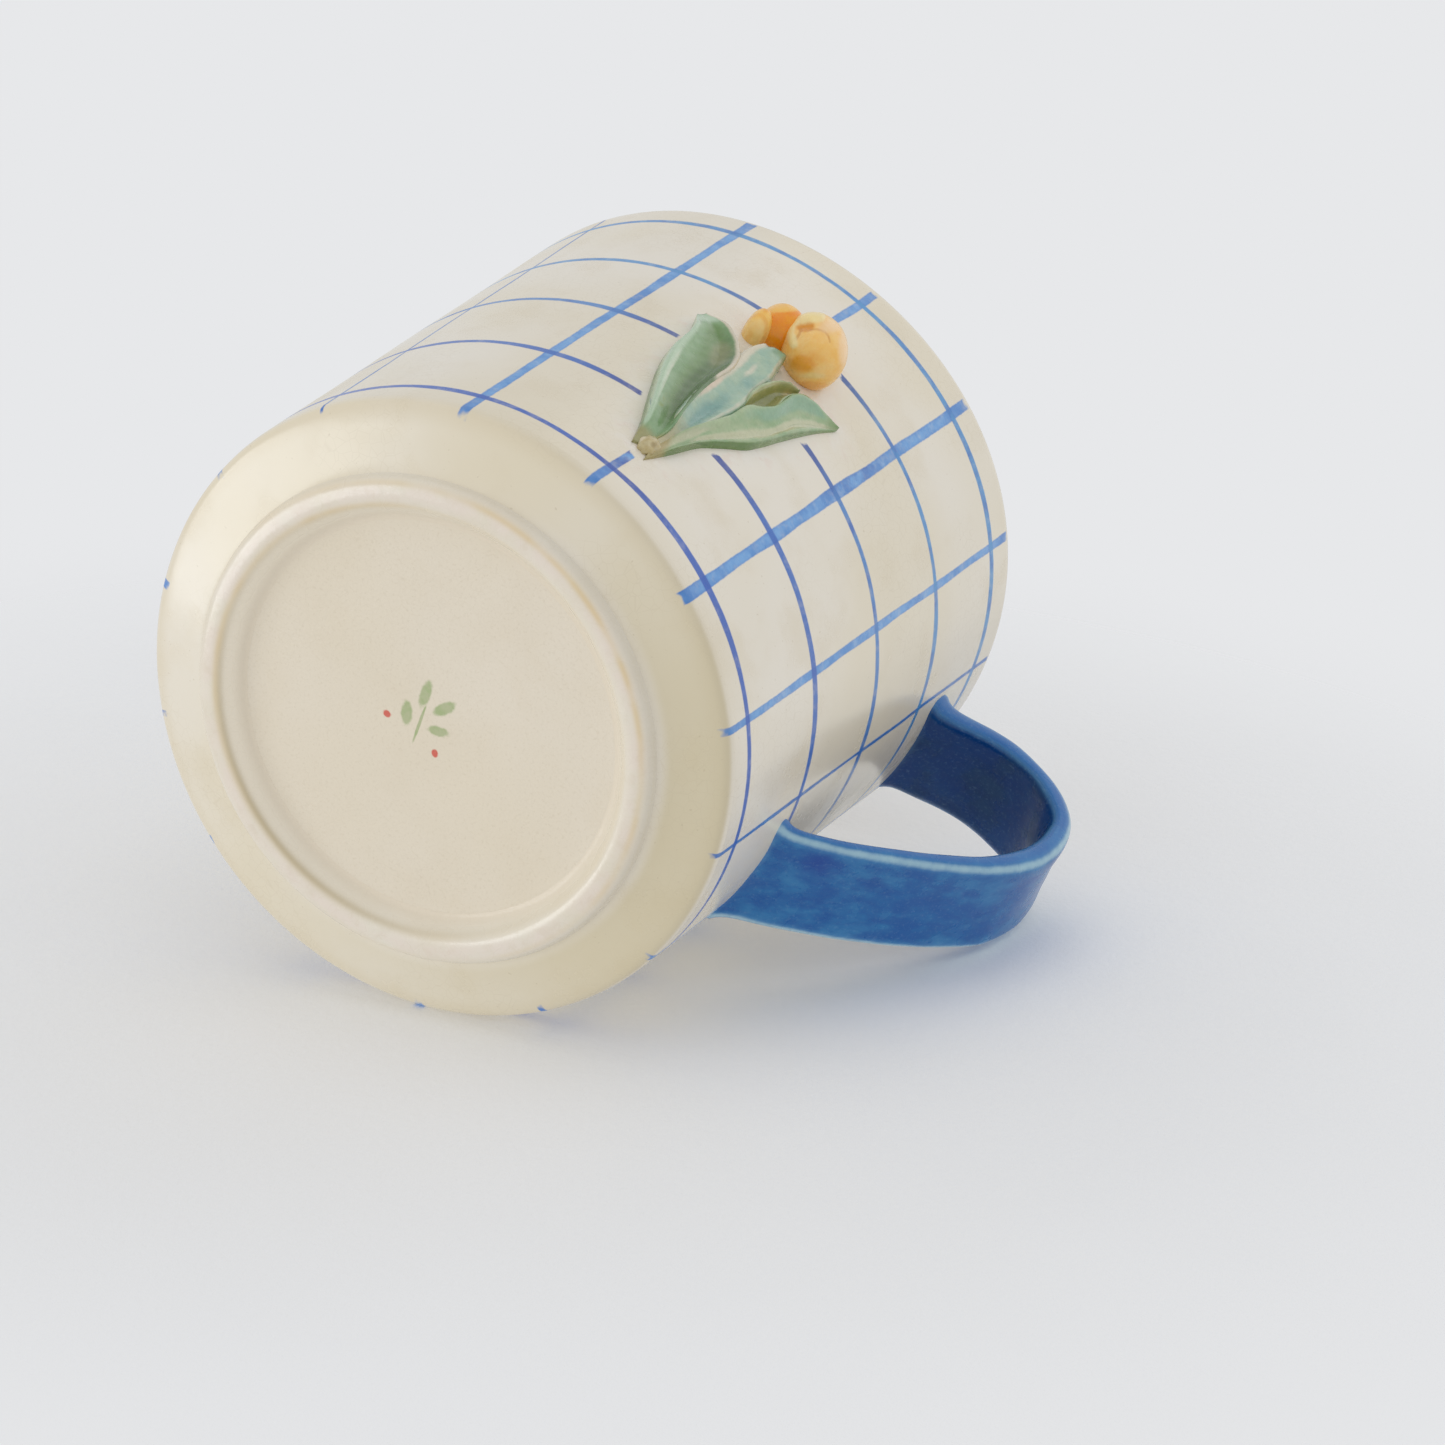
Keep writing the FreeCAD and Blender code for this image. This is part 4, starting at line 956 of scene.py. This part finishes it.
bellf = lambda x, c, w: np.exp(-((x - c) / w) ** 2)
tall_mat = layered(
    "leaf_tall_glaze", lin(140, 172, 126), lin(120, 158, 108),
    [("hollow", 0.15, 0.85, lin(104, 138, 74), 0.90, 2.4, 0.25), ("deepest", 0.15, 0.8, lin(66, 100, 36), 0.88, 1.6, 0.3),
     ("rimline", 0.3, 0.9, lin(226, 222, 200), 0.75, 1.0, 0.4), ("blushy", 0.4, 0.9, lin(166, 160, 118), 0.45, 1.8, 0.35), ("rims", 0.35, 0.95, lin(190, 212, 182), 0.80, 1.6, 0.3),
     ("creamy", 0.3, 0.8, lin(230, 214, 192), 0.85, 1.1, 0.35), ("edging", 0.35, 0.9, lin(84, 122, 58), 0.75, 1.0, 0.3),
     ("foot", 0.45, 1.0, lin(164, 148, 92), 0.75, 1.0, 0.3)],
    blotch=3.2, crackle=0.9)
leaf_piece("mug_leaf_tall", TALL_L, TALL_R, tall_heights, 130, tall_mat, ("leaf_tall",), seed=2.0, tag={
    "hollow": lambda s, t, h: bellf(s, 0.62, 0.30) * smooth(t, 0.05, 0.3) * (1 - smooth(t, 0.82, 1.0)),
    "deepest": lambda s, t, h: bellf(s, 0.78, 0.24) * bellf(t, 0.48, 0.30) * 1.3,
    "rimline": lambda s, t, h: bellf(s, 0.15, 0.06) * bellf(t, 0.45, 0.25),
    "blushy": lambda s, t, h: bellf(s, 0.72, 0.24) * bellf(t, 0.72, 0.12),
    "rims": lambda s, t, h: np.maximum(bellf(s, 0.08, 0.14), bellf(t, 0.97, 0.07)) * smooth(h, 0.5, 1.5),
    "creamy": lambda s, t, h: bellf(s, 0.98, 0.075) * smooth(t, 0.40, 0.55) * smooth(h, 0.4, 1.2),
    "edging": lambda s, t, h: bellf(s, 0.0, 0.05) * (1 - smooth(t, 0.7, 0.85)) * (1 - smooth(h, 0.7, 1.4)),
    "foot": lambda s, t, h: (1 - smooth(t, 0.04, 0.17))})
low_mat = layered(
    "leaf_low_glaze", lin(142, 172, 124), lin(166, 184, 140),
    [("pale", 0.3, 0.9, lin(206, 202, 168), 0.75, 1.8, 0.4), ("teal", 0.3, 0.9, lin(130, 172, 146), 0.65, 2.2, 0.4),
     ("outline", 0.35, 0.85, lin(92, 122, 52), 0.85, 1.0, 0.35), ("tipdark", 0.4, 0.95, lin(112, 144, 82), 0.6, 1.4, 0.3),
     ("foot", 0.45, 1.0, lin(176, 152, 96), 0.8, 0.9, 0.3)],
    blotch=2.6, crackle=0.9)
leaf_piece("mug_leaf_low", LOW_LOWER, LOW_UPPER, low_heights, 130, low_mat, ("leaf_low",), seed=5.0, crumple=0.12, tag={
    "pale": lambda s, t, h: np.maximum(np.maximum(bellf(s, 0.26, 0.18) * smooth(t, 0.1, 0.3), 0.9 * bellf(s, 0.6, 0.16) * bellf(t, 0.2, 0.14)), 0.95 * bellf(s, 0.62, 0.34) * (1 - smooth(t, 0.16, 0.36))),
    "teal": lambda s, t, h: bellf(s, 0.75, 0.22) * smooth(t, 0.35, 0.6) * (1 - smooth(t, 0.85, 1)),
    "outline": lambda s, t, h: np.maximum(bellf(s, 0.0, 0.055), 0.8 * bellf(s, 0.33 - 0.1 * t, 0.035) * smooth(t, 0.6, 0.75)) * (1 - 0.3 * smooth(t, 0.4, 0.6)),
    "tipdark": lambda s, t, h: smooth(t, 0.86, 0.99),
    "foot": lambda s, t, h: (1 - smooth(t, 0.04, 0.18))})
stem_mat = layered(
    "stem_glaze", lin(166, 190, 162), lin(150, 182, 160),
    [("teal", 0.2, 0.85, lin(108, 156, 148), 0.85, 1.8, 0.4), ("ridge", 0.35, 0.95, lin(228, 214, 190), 0.85, 1.3, 0.45),
     ("pink", 0.45, 0.95, lin(228, 196, 170), 0.55, 1.2, 0.4), ("foot", 0.4, 1.0, lin(206, 188, 144), 0.8, 1.2, 0.35),
     # the last layer is painted shade under the bud
     ("bud_shade", 0.4, 1.0, lin(112, 148, 104), 0.65, 1.0, 0.4)],
    blotch=2.2, crackle=0.9)
leaf_piece("mug_stem", STEM_L, STEM_R, stem_heights, 110, stem_mat, ("tulip_stem",), seed=9.0, crumple=0.10, tag={
    "teal": lambda s, t, h: np.maximum(bellf(s, 0.60, 0.22) * bellf(t, 0.36, 0.22), 0.6 * bellf(s, 0.7, 0.3) * bellf(t, 0.7, 0.1)),
    "ridge": lambda s, t, h: np.maximum(bellf(s, 0.15, 0.17) * (1 - 0.5 * bellf(t, 0.3, 0.12)), np.maximum(0.7 * bellf(s, 0.9, 0.08), 0.8 * bellf(s, 0.5, 0.12) * bellf(t, 0.78, 0.10))) * smooth(h, 0.6, 1.6),
    "pink": lambda s, t, h: bellf(s, 0.22, 0.1) * bellf(t, 0.52, 0.16),
    "foot": lambda s, t, h: 1 - smooth(t, 0.04, 0.40),
    # painted shade: the stem's top darker green under the bud
    "bud_shade": lambda s, t, h: smooth(t, 0.90, 0.99) * smooth(s, 0.3, 0.6)})
curl_mat = layered(
    "olive_glaze", lin(152, 154, 92), lin(172, 166, 104),
    [("bowl", 0.2, 0.85, lin(124, 128, 60), 0.85, 1.3, 0.35), ("rims", 0.35, 0.9, lin(172, 192, 150), 0.80, 1.2, 0.3), ("gold", 0.4, 0.9, lin(196, 172, 112), 0.55, 1.0, 0.35)],
    blotch=1.8)
leaf_piece("mug_leaf_curl", CURL_L, CURL_R, curl_heights, 70, curl_mat, ("leaf_curl",), seed=13.0, crumple=0.08, nc=44, tag={
    "bowl": lambda s, t, h: bellf(s, 0.5, 0.28) * bellf(t, 0.45, 0.35),
    "rims": lambda s, t, h: np.maximum(bellf(s, 0.05, 0.12), bellf(s, 0.95, 0.1)) * smooth(h, 0.5, 1.4),
    "gold": lambda s, t, h: bellf(s, 0.45, 0.25) * bellf(t, 0.85, 0.12)})


def blob(name, theta, z, out, radial, across, tall, material, node, power=2.0, shape=None, tag=None, n=64, lean=0.0, bite=None):
    """A petal: a full, rounded form set partly into the wall."""
    lat = np.linspace(-math.pi / 2, math.pi / 2, n // 2 + 1)[1:-1]
    lon = np.linspace(-math.pi, math.pi, n, endpoint=False)
    LA, LO = np.meshgrid(lat, lon, indexing="ij")
    sp = lambda a, e: np.sign(a) * np.abs(a) ** e
    e = 2.0 / power
    # tall runs up the cup, radial out of it, across round it; the pole is at the tall end
    X = sp(np.cos(LA), e) * sp(np.cos(LO), e)
    Y = sp(np.cos(LA), e) * sp(np.sin(LO), e)
    Z = sp(np.sin(LA), e)
    Q = np.stack([X, Y, Z], axis=-1)
    D = np.zeros(X.shape)
    if shape is not None:
        D = shape(X, Y, Z)
    Q = Q * (1.0 + D)[..., None]
    th0 = math.radians(theta)
    er = np.array([math.cos(th0), math.sin(th0), 0.0])
    et = np.array([-math.sin(th0), math.cos(th0), 0.0])
    ez = np.array([0.0, 0.0, 1.0])
    c, s_ = math.cos(math.radians(lean)), math.sin(math.radians(lean))
    et2, ez2 = c * et + s_ * ez, -s_ * et + c * ez
    r0 = float(wall_radius(np.array([theta]), np.array([z]))[0]) + out
    origin = er * r0 + ez * z
    P = origin + Q[..., 0:1] * radial * er + Q[..., 1:2] * across * et2 + Q[..., 2:3] * tall * ez2
    lo_, hi_ = node_box(node)
    P[..., 1] = np.maximum(P[..., 1], float(lo_[1]) + 0.02) if lo_[1] < -49.5 else P[..., 1]
    south = origin + (-1.0 + 0.0) * tall * ez2
    north = origin + tall * ez2
    ni, nj = P.shape[:2]
    verts, faces = loft(P, False, True)
    k = len(verts)
    verts = np.vstack([verts, south[None], north[None]])
    faces = faces + [[k, (j + 1) % nj, j] for j in range(nj)] + [[k + 1, (ni - 1) * nj + j, (ni - 1) * nj + (j + 1) % nj] for j in range(nj)]
    at = {}
    for kk, f in (tag or {}).items():
        a = f(X, Y, Z)
        at[kk] = np.concatenate([a.ravel(), [a[0].mean(), a[-1].mean()]])
    ob = make_object(name, verts, faces, at, None, None, material)
    face_out(ob)
    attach(ob, "root")
    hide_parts(node)
    return ob


def face_uv(X, Y, Z):
    """Across and up on the side of the front petal that looks down and out, each about -1..1."""
    return (20.7 * X + 26.8 * Y - 4.1 * Z) / 33.2, (25.6 * X - 13.5 * Y + 25.7 * Z) / 39.2


def faces_out(X, Y, Z):
    """1 on that side of the petal, 0 on its far side."""
    return smooth(0.55 * X - 0.49 * Y - 0.67 * Z, -0.15, 0.25)


def along(U, V, points, width):
    """How close (U, V) is to a line through points, 0..1."""
    best = np.full(U.shape, 1e9)
    for (a, b), (c, d) in zip(points[:-1], points[1:]):
        k = np.clip(((U - a) * (c - a) + (V - b) * (d - b)) / ((c - a) ** 2 + (d - b) ** 2), 0, 1)
        best = np.minimum(best, np.hypot(U - a - k * (c - a), V - b - k * (d - b)))
    return np.exp(-(best / width) ** 2)


ROLL = [(-0.62, 0.22), (-0.74, 0.48), (-0.70, 0.74), (-0.50, 0.88), (-0.16, 0.92), (0.22, 0.88)]
FOLD_LEFT = [(-0.58, 0.28), (-0.45, 0.48), (-0.42, 0.64)]
FOLD_RIGHT = [(-0.14, 0.60), (0.10, 0.60), (0.33, 0.54), (0.45, 0.42), (0.50, 0.26)]


def on_face(f):
    return lambda X, Y, Z: f(*face_uv(X, Y, Z)) * faces_out(X, Y, Z)


spot = lambda U, V, u, v, a, b: np.exp(-((U - u) / a) ** 2 - ((V - v) / b) ** 2)


petal_mat = layered(
    "petal_glaze", lin(253, 204, 122), lin(250, 192, 96),
    [("warm", 0.25, 0.95, lin(240, 158, 40), 0.85, 2.2, 0.35), ("pocket", 0.25, 0.85, lin(226, 144, 10), 0.95, 1.4, 0.25),
     ("fold", 0.30, 0.85, lin(206, 136, 44), 0.60, 1.2, 0.3), ("roll", 0.25, 0.85, lin(250, 226, 158), 0.90, 1.4, 0.25),
     ("pinky", 0.25, 0.95, lin(252, 214, 168), 0.7, 1.6, 0.3), ("stripe", 0.3, 0.9, lin(240, 208, 138), 0.7, 1.2, 0.35),
     ("low", 0.3, 0.95, lin(240, 166, 72), 0.75, 1.2, 0.35)],
    blotch=2.4, rough=(0.2, 0.34), crackle=0.0, bumps=((3.0, 0.07), (0.9, 0.03)), coat=0.25, dirt=0.0)
blob("mug_petal_front", -86.0, 58.4, 2.6, 4.55, 4.1, 5.55, petal_mat, "petal_front", power=2.15, lean=35,
     shape=on_face(lambda U, V: 0.050 * along(U, V, ROLL, 0.13) - 0.105 * spot(U, V, -0.27, 0.70, 0.26, 0.13) - 0.022 * along(U, V, FOLD_LEFT, 0.07)
                   - 0.018 * along(U, V, FOLD_RIGHT, 0.07) - 0.014 * along(U, V, [(-0.6, -0.42), (-0.1, -0.55), (0.5, -0.45)], 0.09)),
     tag={"warm": on_face(lambda U, V: np.maximum(1.4 * spot(U, V, -0.36, -0.30, 0.46, 0.24), 0.65 * spot(U, V, 0.0, -0.15, 0.5, 0.3))),
          "pocket": on_face(lambda U, V: 1.6 * spot(U, V, -0.28, 0.69, 0.27, 0.16)),
          "fold": on_face(lambda U, V: np.maximum(along(U, V, FOLD_LEFT, 0.055), 0.8 * along(U, V, FOLD_RIGHT, 0.05))),
          "roll": on_face(lambda U, V: 1.2 * along(U, V, ROLL, 0.15)),
          "pinky": on_face(lambda U, V: np.maximum(spot(U, V, 0.50, 0.66, 0.45, 0.24), spot(U, V, 0.92, 0.1, 0.22, 0.6))),
          "stripe": on_face(lambda U, V: spot(U, V, -0.05, -0.62, 0.5, 0.10)),
          "low": on_face(lambda U, V: 1.4 * spot(U, V, -0.1, -0.90, 0.7, 0.15))}, n=160)
dark_mat = layered(
    "petal_dark_glaze", lin(248, 156, 14), lin(244, 140, 2),
    [("pale", 0.4, 0.95, lin(250, 200, 100), 0.8, 1.4, 0.4), ("low", 0.4, 0.95, lin(206, 134, 26), 0.6, 1.2, 0.4)],
    blotch=2.0, rough=(0.2, 0.34), bumps=((3.0, 0.07), (0.9, 0.03)), coat=0.25, dirt=0.0)
blob("mug_petal_middle", -93.1, 59.3, 0.6, 4.1, 3.3, 3.6, dark_mat, "petal_middle", power=2.15, lean=10,
     shape=lambda X, Y, Z: 0.02 * np.sin(4 * Z + 2 * Y),
     tag={"pale": lambda X, Y, Z: smooth((22.3 * X - 16.0 * Y + 10.1 * Z) / 25.0, 0.62, 0.92), "low": lambda X, Y, Z: 0.6 * (1 - smooth(Z, -0.9, -0.6))}, n=72)
left_mat = layered(
    "petal_left_glaze", lin(253, 206, 112), lin(250, 192, 84),
    [("warm", 0.3, 0.9, lin(242, 164, 40), 0.7, 1.6, 0.4), ("pale", 0.35, 0.95, lin(250, 216, 152), 0.45, 1.4, 0.4), ("rings", 0.4, 0.95, lin(234, 154, 44), 0.35, 1.0, 0.4)],
    blotch=2.0, rough=(0.2, 0.34), bumps=((3.0, 0.07), (0.9, 0.03)), coat=0.25, dirt=0.0)
blob("mug_petal_left", -95.6, 56.4, 0.6, 3.3, 1.75, 2.6, left_mat, "petal_left", power=2.1, lean=20,
     shape=lambda X, Y, Z: 0.02 * np.sin(5 * Z + 3 * Y),
     tag={"warm": lambda X, Y, Z: bellf(Z, 0.1, 0.4) * bellf(Y, -0.1, 0.3), "pale": lambda X, Y, Z: np.maximum(smooth(-Z, 0.25, 0.8), smooth(-Y, 0.6, 1.0)),
          "rings": lambda X, Y, Z: 0.5 + 0.5 * np.sin(9 * Z + 4 * Y)}, n=72)
nub_mat = layered(
    "nub_glaze", lin(186, 166, 112), lin(198, 182, 134),
    [("dark", 0.3, 1.1, lin(140, 116, 60), 0.7, 0.8, 1.1), ("pale", 0.3, 0.95, lin(226, 212, 180), 0.75, 1.2, 0.5)],
    blotch=1.2, rough=(0.2, 0.36), bumps=((1.6, 0.12), (0.6, 0.05)))
blob("mug_root_nub", -89.0, 18.3, 0.1, 0.85, 1.4, 2.3, nub_mat, "root_nub", power=2.1,
     shape=lambda X, Y, Z: 0.10 * np.sin(6 * Z + 4 * Y) * np.cos(5 * Y - 1.0),
     tag={"dark": lambda X, Y, Z: bellf(Y, 0.3, 0.4) * bellf(Z, -0.2, 0.5), "pale": lambda X, Y, Z: np.maximum(smooth(-Y, 0.4, 0.9), smooth(Z, 0.5, 1.0))}, n=48)

# ---------------------------------------------------------------- table, floor, light, camera
beta = math.radians(2.714)
tc_ = math.radians(58.3)
n_table = np.array([math.cos(tc_) * math.cos(beta), math.sin(tc_) * math.cos(beta), -math.sin(beta)])
reach = -1e9
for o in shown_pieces():
    co = np.zeros(len(o.data.vertices) * 3)
    o.data.vertices.foreach_get("co", co)
    reach = max(reach, float((co.reshape(-1, 3) @ n_table).max()))


def stage_plane(name, origin, e1, e2, normal, size, colour, near, far):
    """A plain one-sided plane: seen only from the side that its normal points to."""
    import bmesh
    bm = bmesh.new()
    k = 24
    grid = [[bm.verts.new(Vector(origin) + Vector(e1) * (a / k * 2 - 1) * size + Vector(e2) * (b / k * 2 - 1) * size) for b in range(k + 1)] for a in range(k + 1)]
    for a in range(k):
        for b in range(k):
            bm.faces.new([grid[a][b], grid[a + 1][b], grid[a + 1][b + 1], grid[a][b + 1]])
    me = bpy.data.meshes.new(name)
    bm.normal_update()
    if bm.faces[:][0].normal.dot(Vector(normal)) < 0:
        for f in bm.faces:
            f.normal_flip()
    bm.to_mesh(me)
    bm.free()
    ob = bpy.data.objects.new(name, me)
    bpy.context.scene.collection.objects.link(ob)
    t = Tree(name)
    body = t.mix(t.step(t.noise(60, 3, offset=3), 0.3, 0.7), colour, tuple(c * 0.985 for c in colour[:3]) + (1.0,))
    t.bump(t.noise(1.1, 3, 0.65, offset=2), 0.10)
    t.bump(t.noise(7.0, 3, 0.6, offset=9), 0.10)
    t.done(body, 0.85)
    t.bsdf.inputs["Specular IOR Level"].default_value = 0.1
    geo = t.nt.nodes.new("ShaderNodeNewGeometry")
    clear = t.nt.nodes.new("ShaderNodeBsdfTransparent")
    mixer = t.nt.nodes.new("ShaderNodeMixShader")
    # it melts into the backdrop a little way from the mug
    away = t.nt.nodes.new("ShaderNodeVectorMath")
    away.operation = "DISTANCE"
    t.nt.links.new(t.mm, away.inputs[0])
    away.inputs[1].default_value = (5.0, 0.0, 44.0)
    gone = t.step(away.outputs["Value"], near, far)
    t.nt.links.new(t.m("MAXIMUM", geo.outputs["Backfacing"], gone), mixer.inputs[0])
    t.nt.links.new(t.bsdf.outputs[0], mixer.inputs[1])
    t.nt.links.new(clear.outputs[0], mixer.inputs[2])
    t.nt.links.new(mixer.outputs[0], t.out.inputs[0])
    me.materials.append(t.mat)
    ob.visible_diffuse = False
    ob.visible_glossy = name == "table_plane"
    ob.visible_shadow = False
    ob.visible_transmission = False
    return ob


across_table = np.cross(n_table, [0, 0, 1.0])
across_table /= np.linalg.norm(across_table)
along_table = np.cross(across_table, n_table)
along_table /= np.linalg.norm(along_table)
stage_plane("table_plane", n_table * (reach + 0.00002), across_table, along_table, -n_table, 1.0, (0.94, 0.94, 0.945, 1.0), 95.0, 205.0)
stage_plane("floor_plane", (0, 0, 0), (1, 0, 0), (0, 1, 0), (0, 0, 1), 1.0, (0.96, 0.96, 0.965, 1.0), 90.0, 200.0)

scene = bpy.context.scene
world = bpy.data.worlds.new("studio")
scene.world = world
world.use_nodes = True
wn = world.node_tree
wn.nodes.clear()
wo = wn.nodes.new("ShaderNodeOutputWorld")
bg = wn.nodes.new("ShaderNodeBackground")
bg.inputs[0].default_value = (0.965, 0.98, 1.0, 1.0)
bg.inputs[1].default_value = 0.72
bg2 = wn.nodes.new("ShaderNodeBackground")
bg2.inputs[0].default_value = lin(231, 232, 234)
bg2.inputs[1].default_value = 1.0
lp = wn.nodes.new("ShaderNodeLightPath")
mx = wn.nodes.new("ShaderNodeMixShader")
wn.links.new(lp.outputs["Is Camera Ray"], mx.inputs[0])
wn.links.new(bg.outputs[0], mx.inputs[1])
wn.links.new(bg2.outputs[0], mx.inputs[2])
wn.links.new(mx.outputs[0], wo.inputs[0])

CAM_POS = np.array([90.3665, -269.0847, -399.9643])
RIGHT = np.array([0.7592411, -0.5011089, 0.4152623])
DOWN = np.array([0.6382057, 0.6982438, -0.3242669])
FORWARD = np.array([-0.1274614, 0.5112196, 0.8499460])


def area_light(name, direction, distance, size, watts, colour):
    d = np.asarray(direction, float)
    d = d / np.linalg.norm(d)
    la = bpy.data.lights.new(name, "AREA")
    la.shape = "RECTANGLE"
    la.size, la.size_y = size
    la.energy = watts
    la.color = colour
    ob = bpy.data.objects.new(name, la)
    scene.collection.objects.link(ob)
    target = Vector((0.005, 0.0, 0.044))
    ob.location = target + Vector(d) * distance
    ob.rotation_mode = "QUATERNION"
    ob.rotation_quaternion = Vector(d).to_track_quat("Z", "Y")
    return ob


area_light("window", -0.93 * RIGHT + 0.12 * n_table - 0.32 * FORWARD, 1.3, (0.60, 0.86), 4.6, (0.965, 0.985, 1.0))
area_light("far_window", 0.70 * RIGHT - 0.42 * n_table + 0.50 * FORWARD, 1.4, (2.0, 1.8), 3.0, (1.0, 0.99, 0.98))
area_light("ceiling", -0.10 * RIGHT - 1.0 * n_table - 0.10 * FORWARD, 1.5, (1.6, 1.2), 1.75, (1.0, 0.99, 0.98))

cam = bpy.data.cameras.new("camera")
cam.sensor_fit = "HORIZONTAL"
cam.sensor_width = 36.0
cam.lens = 4000.0 / 1445.0 * 36.0
cam.clip_start, cam.clip_end = 0.01, 20.0
cam.dof.use_dof = False
cam_ob = bpy.data.objects.new("camera", cam)
scene.collection.objects.link(cam_ob)
M = Matrix.Identity(4)
for i in range(3):
    M[i][0], M[i][1], M[i][2], M[i][3] = RIGHT[i], -DOWN[i], -FORWARD[i], CAM_POS[i] * MM
cam_ob.matrix_world = M
scene.camera = cam_ob
scene.view_settings.view_transform = "Standard"
scene.view_settings.look = "None"
scene.view_settings.exposure = 0.0
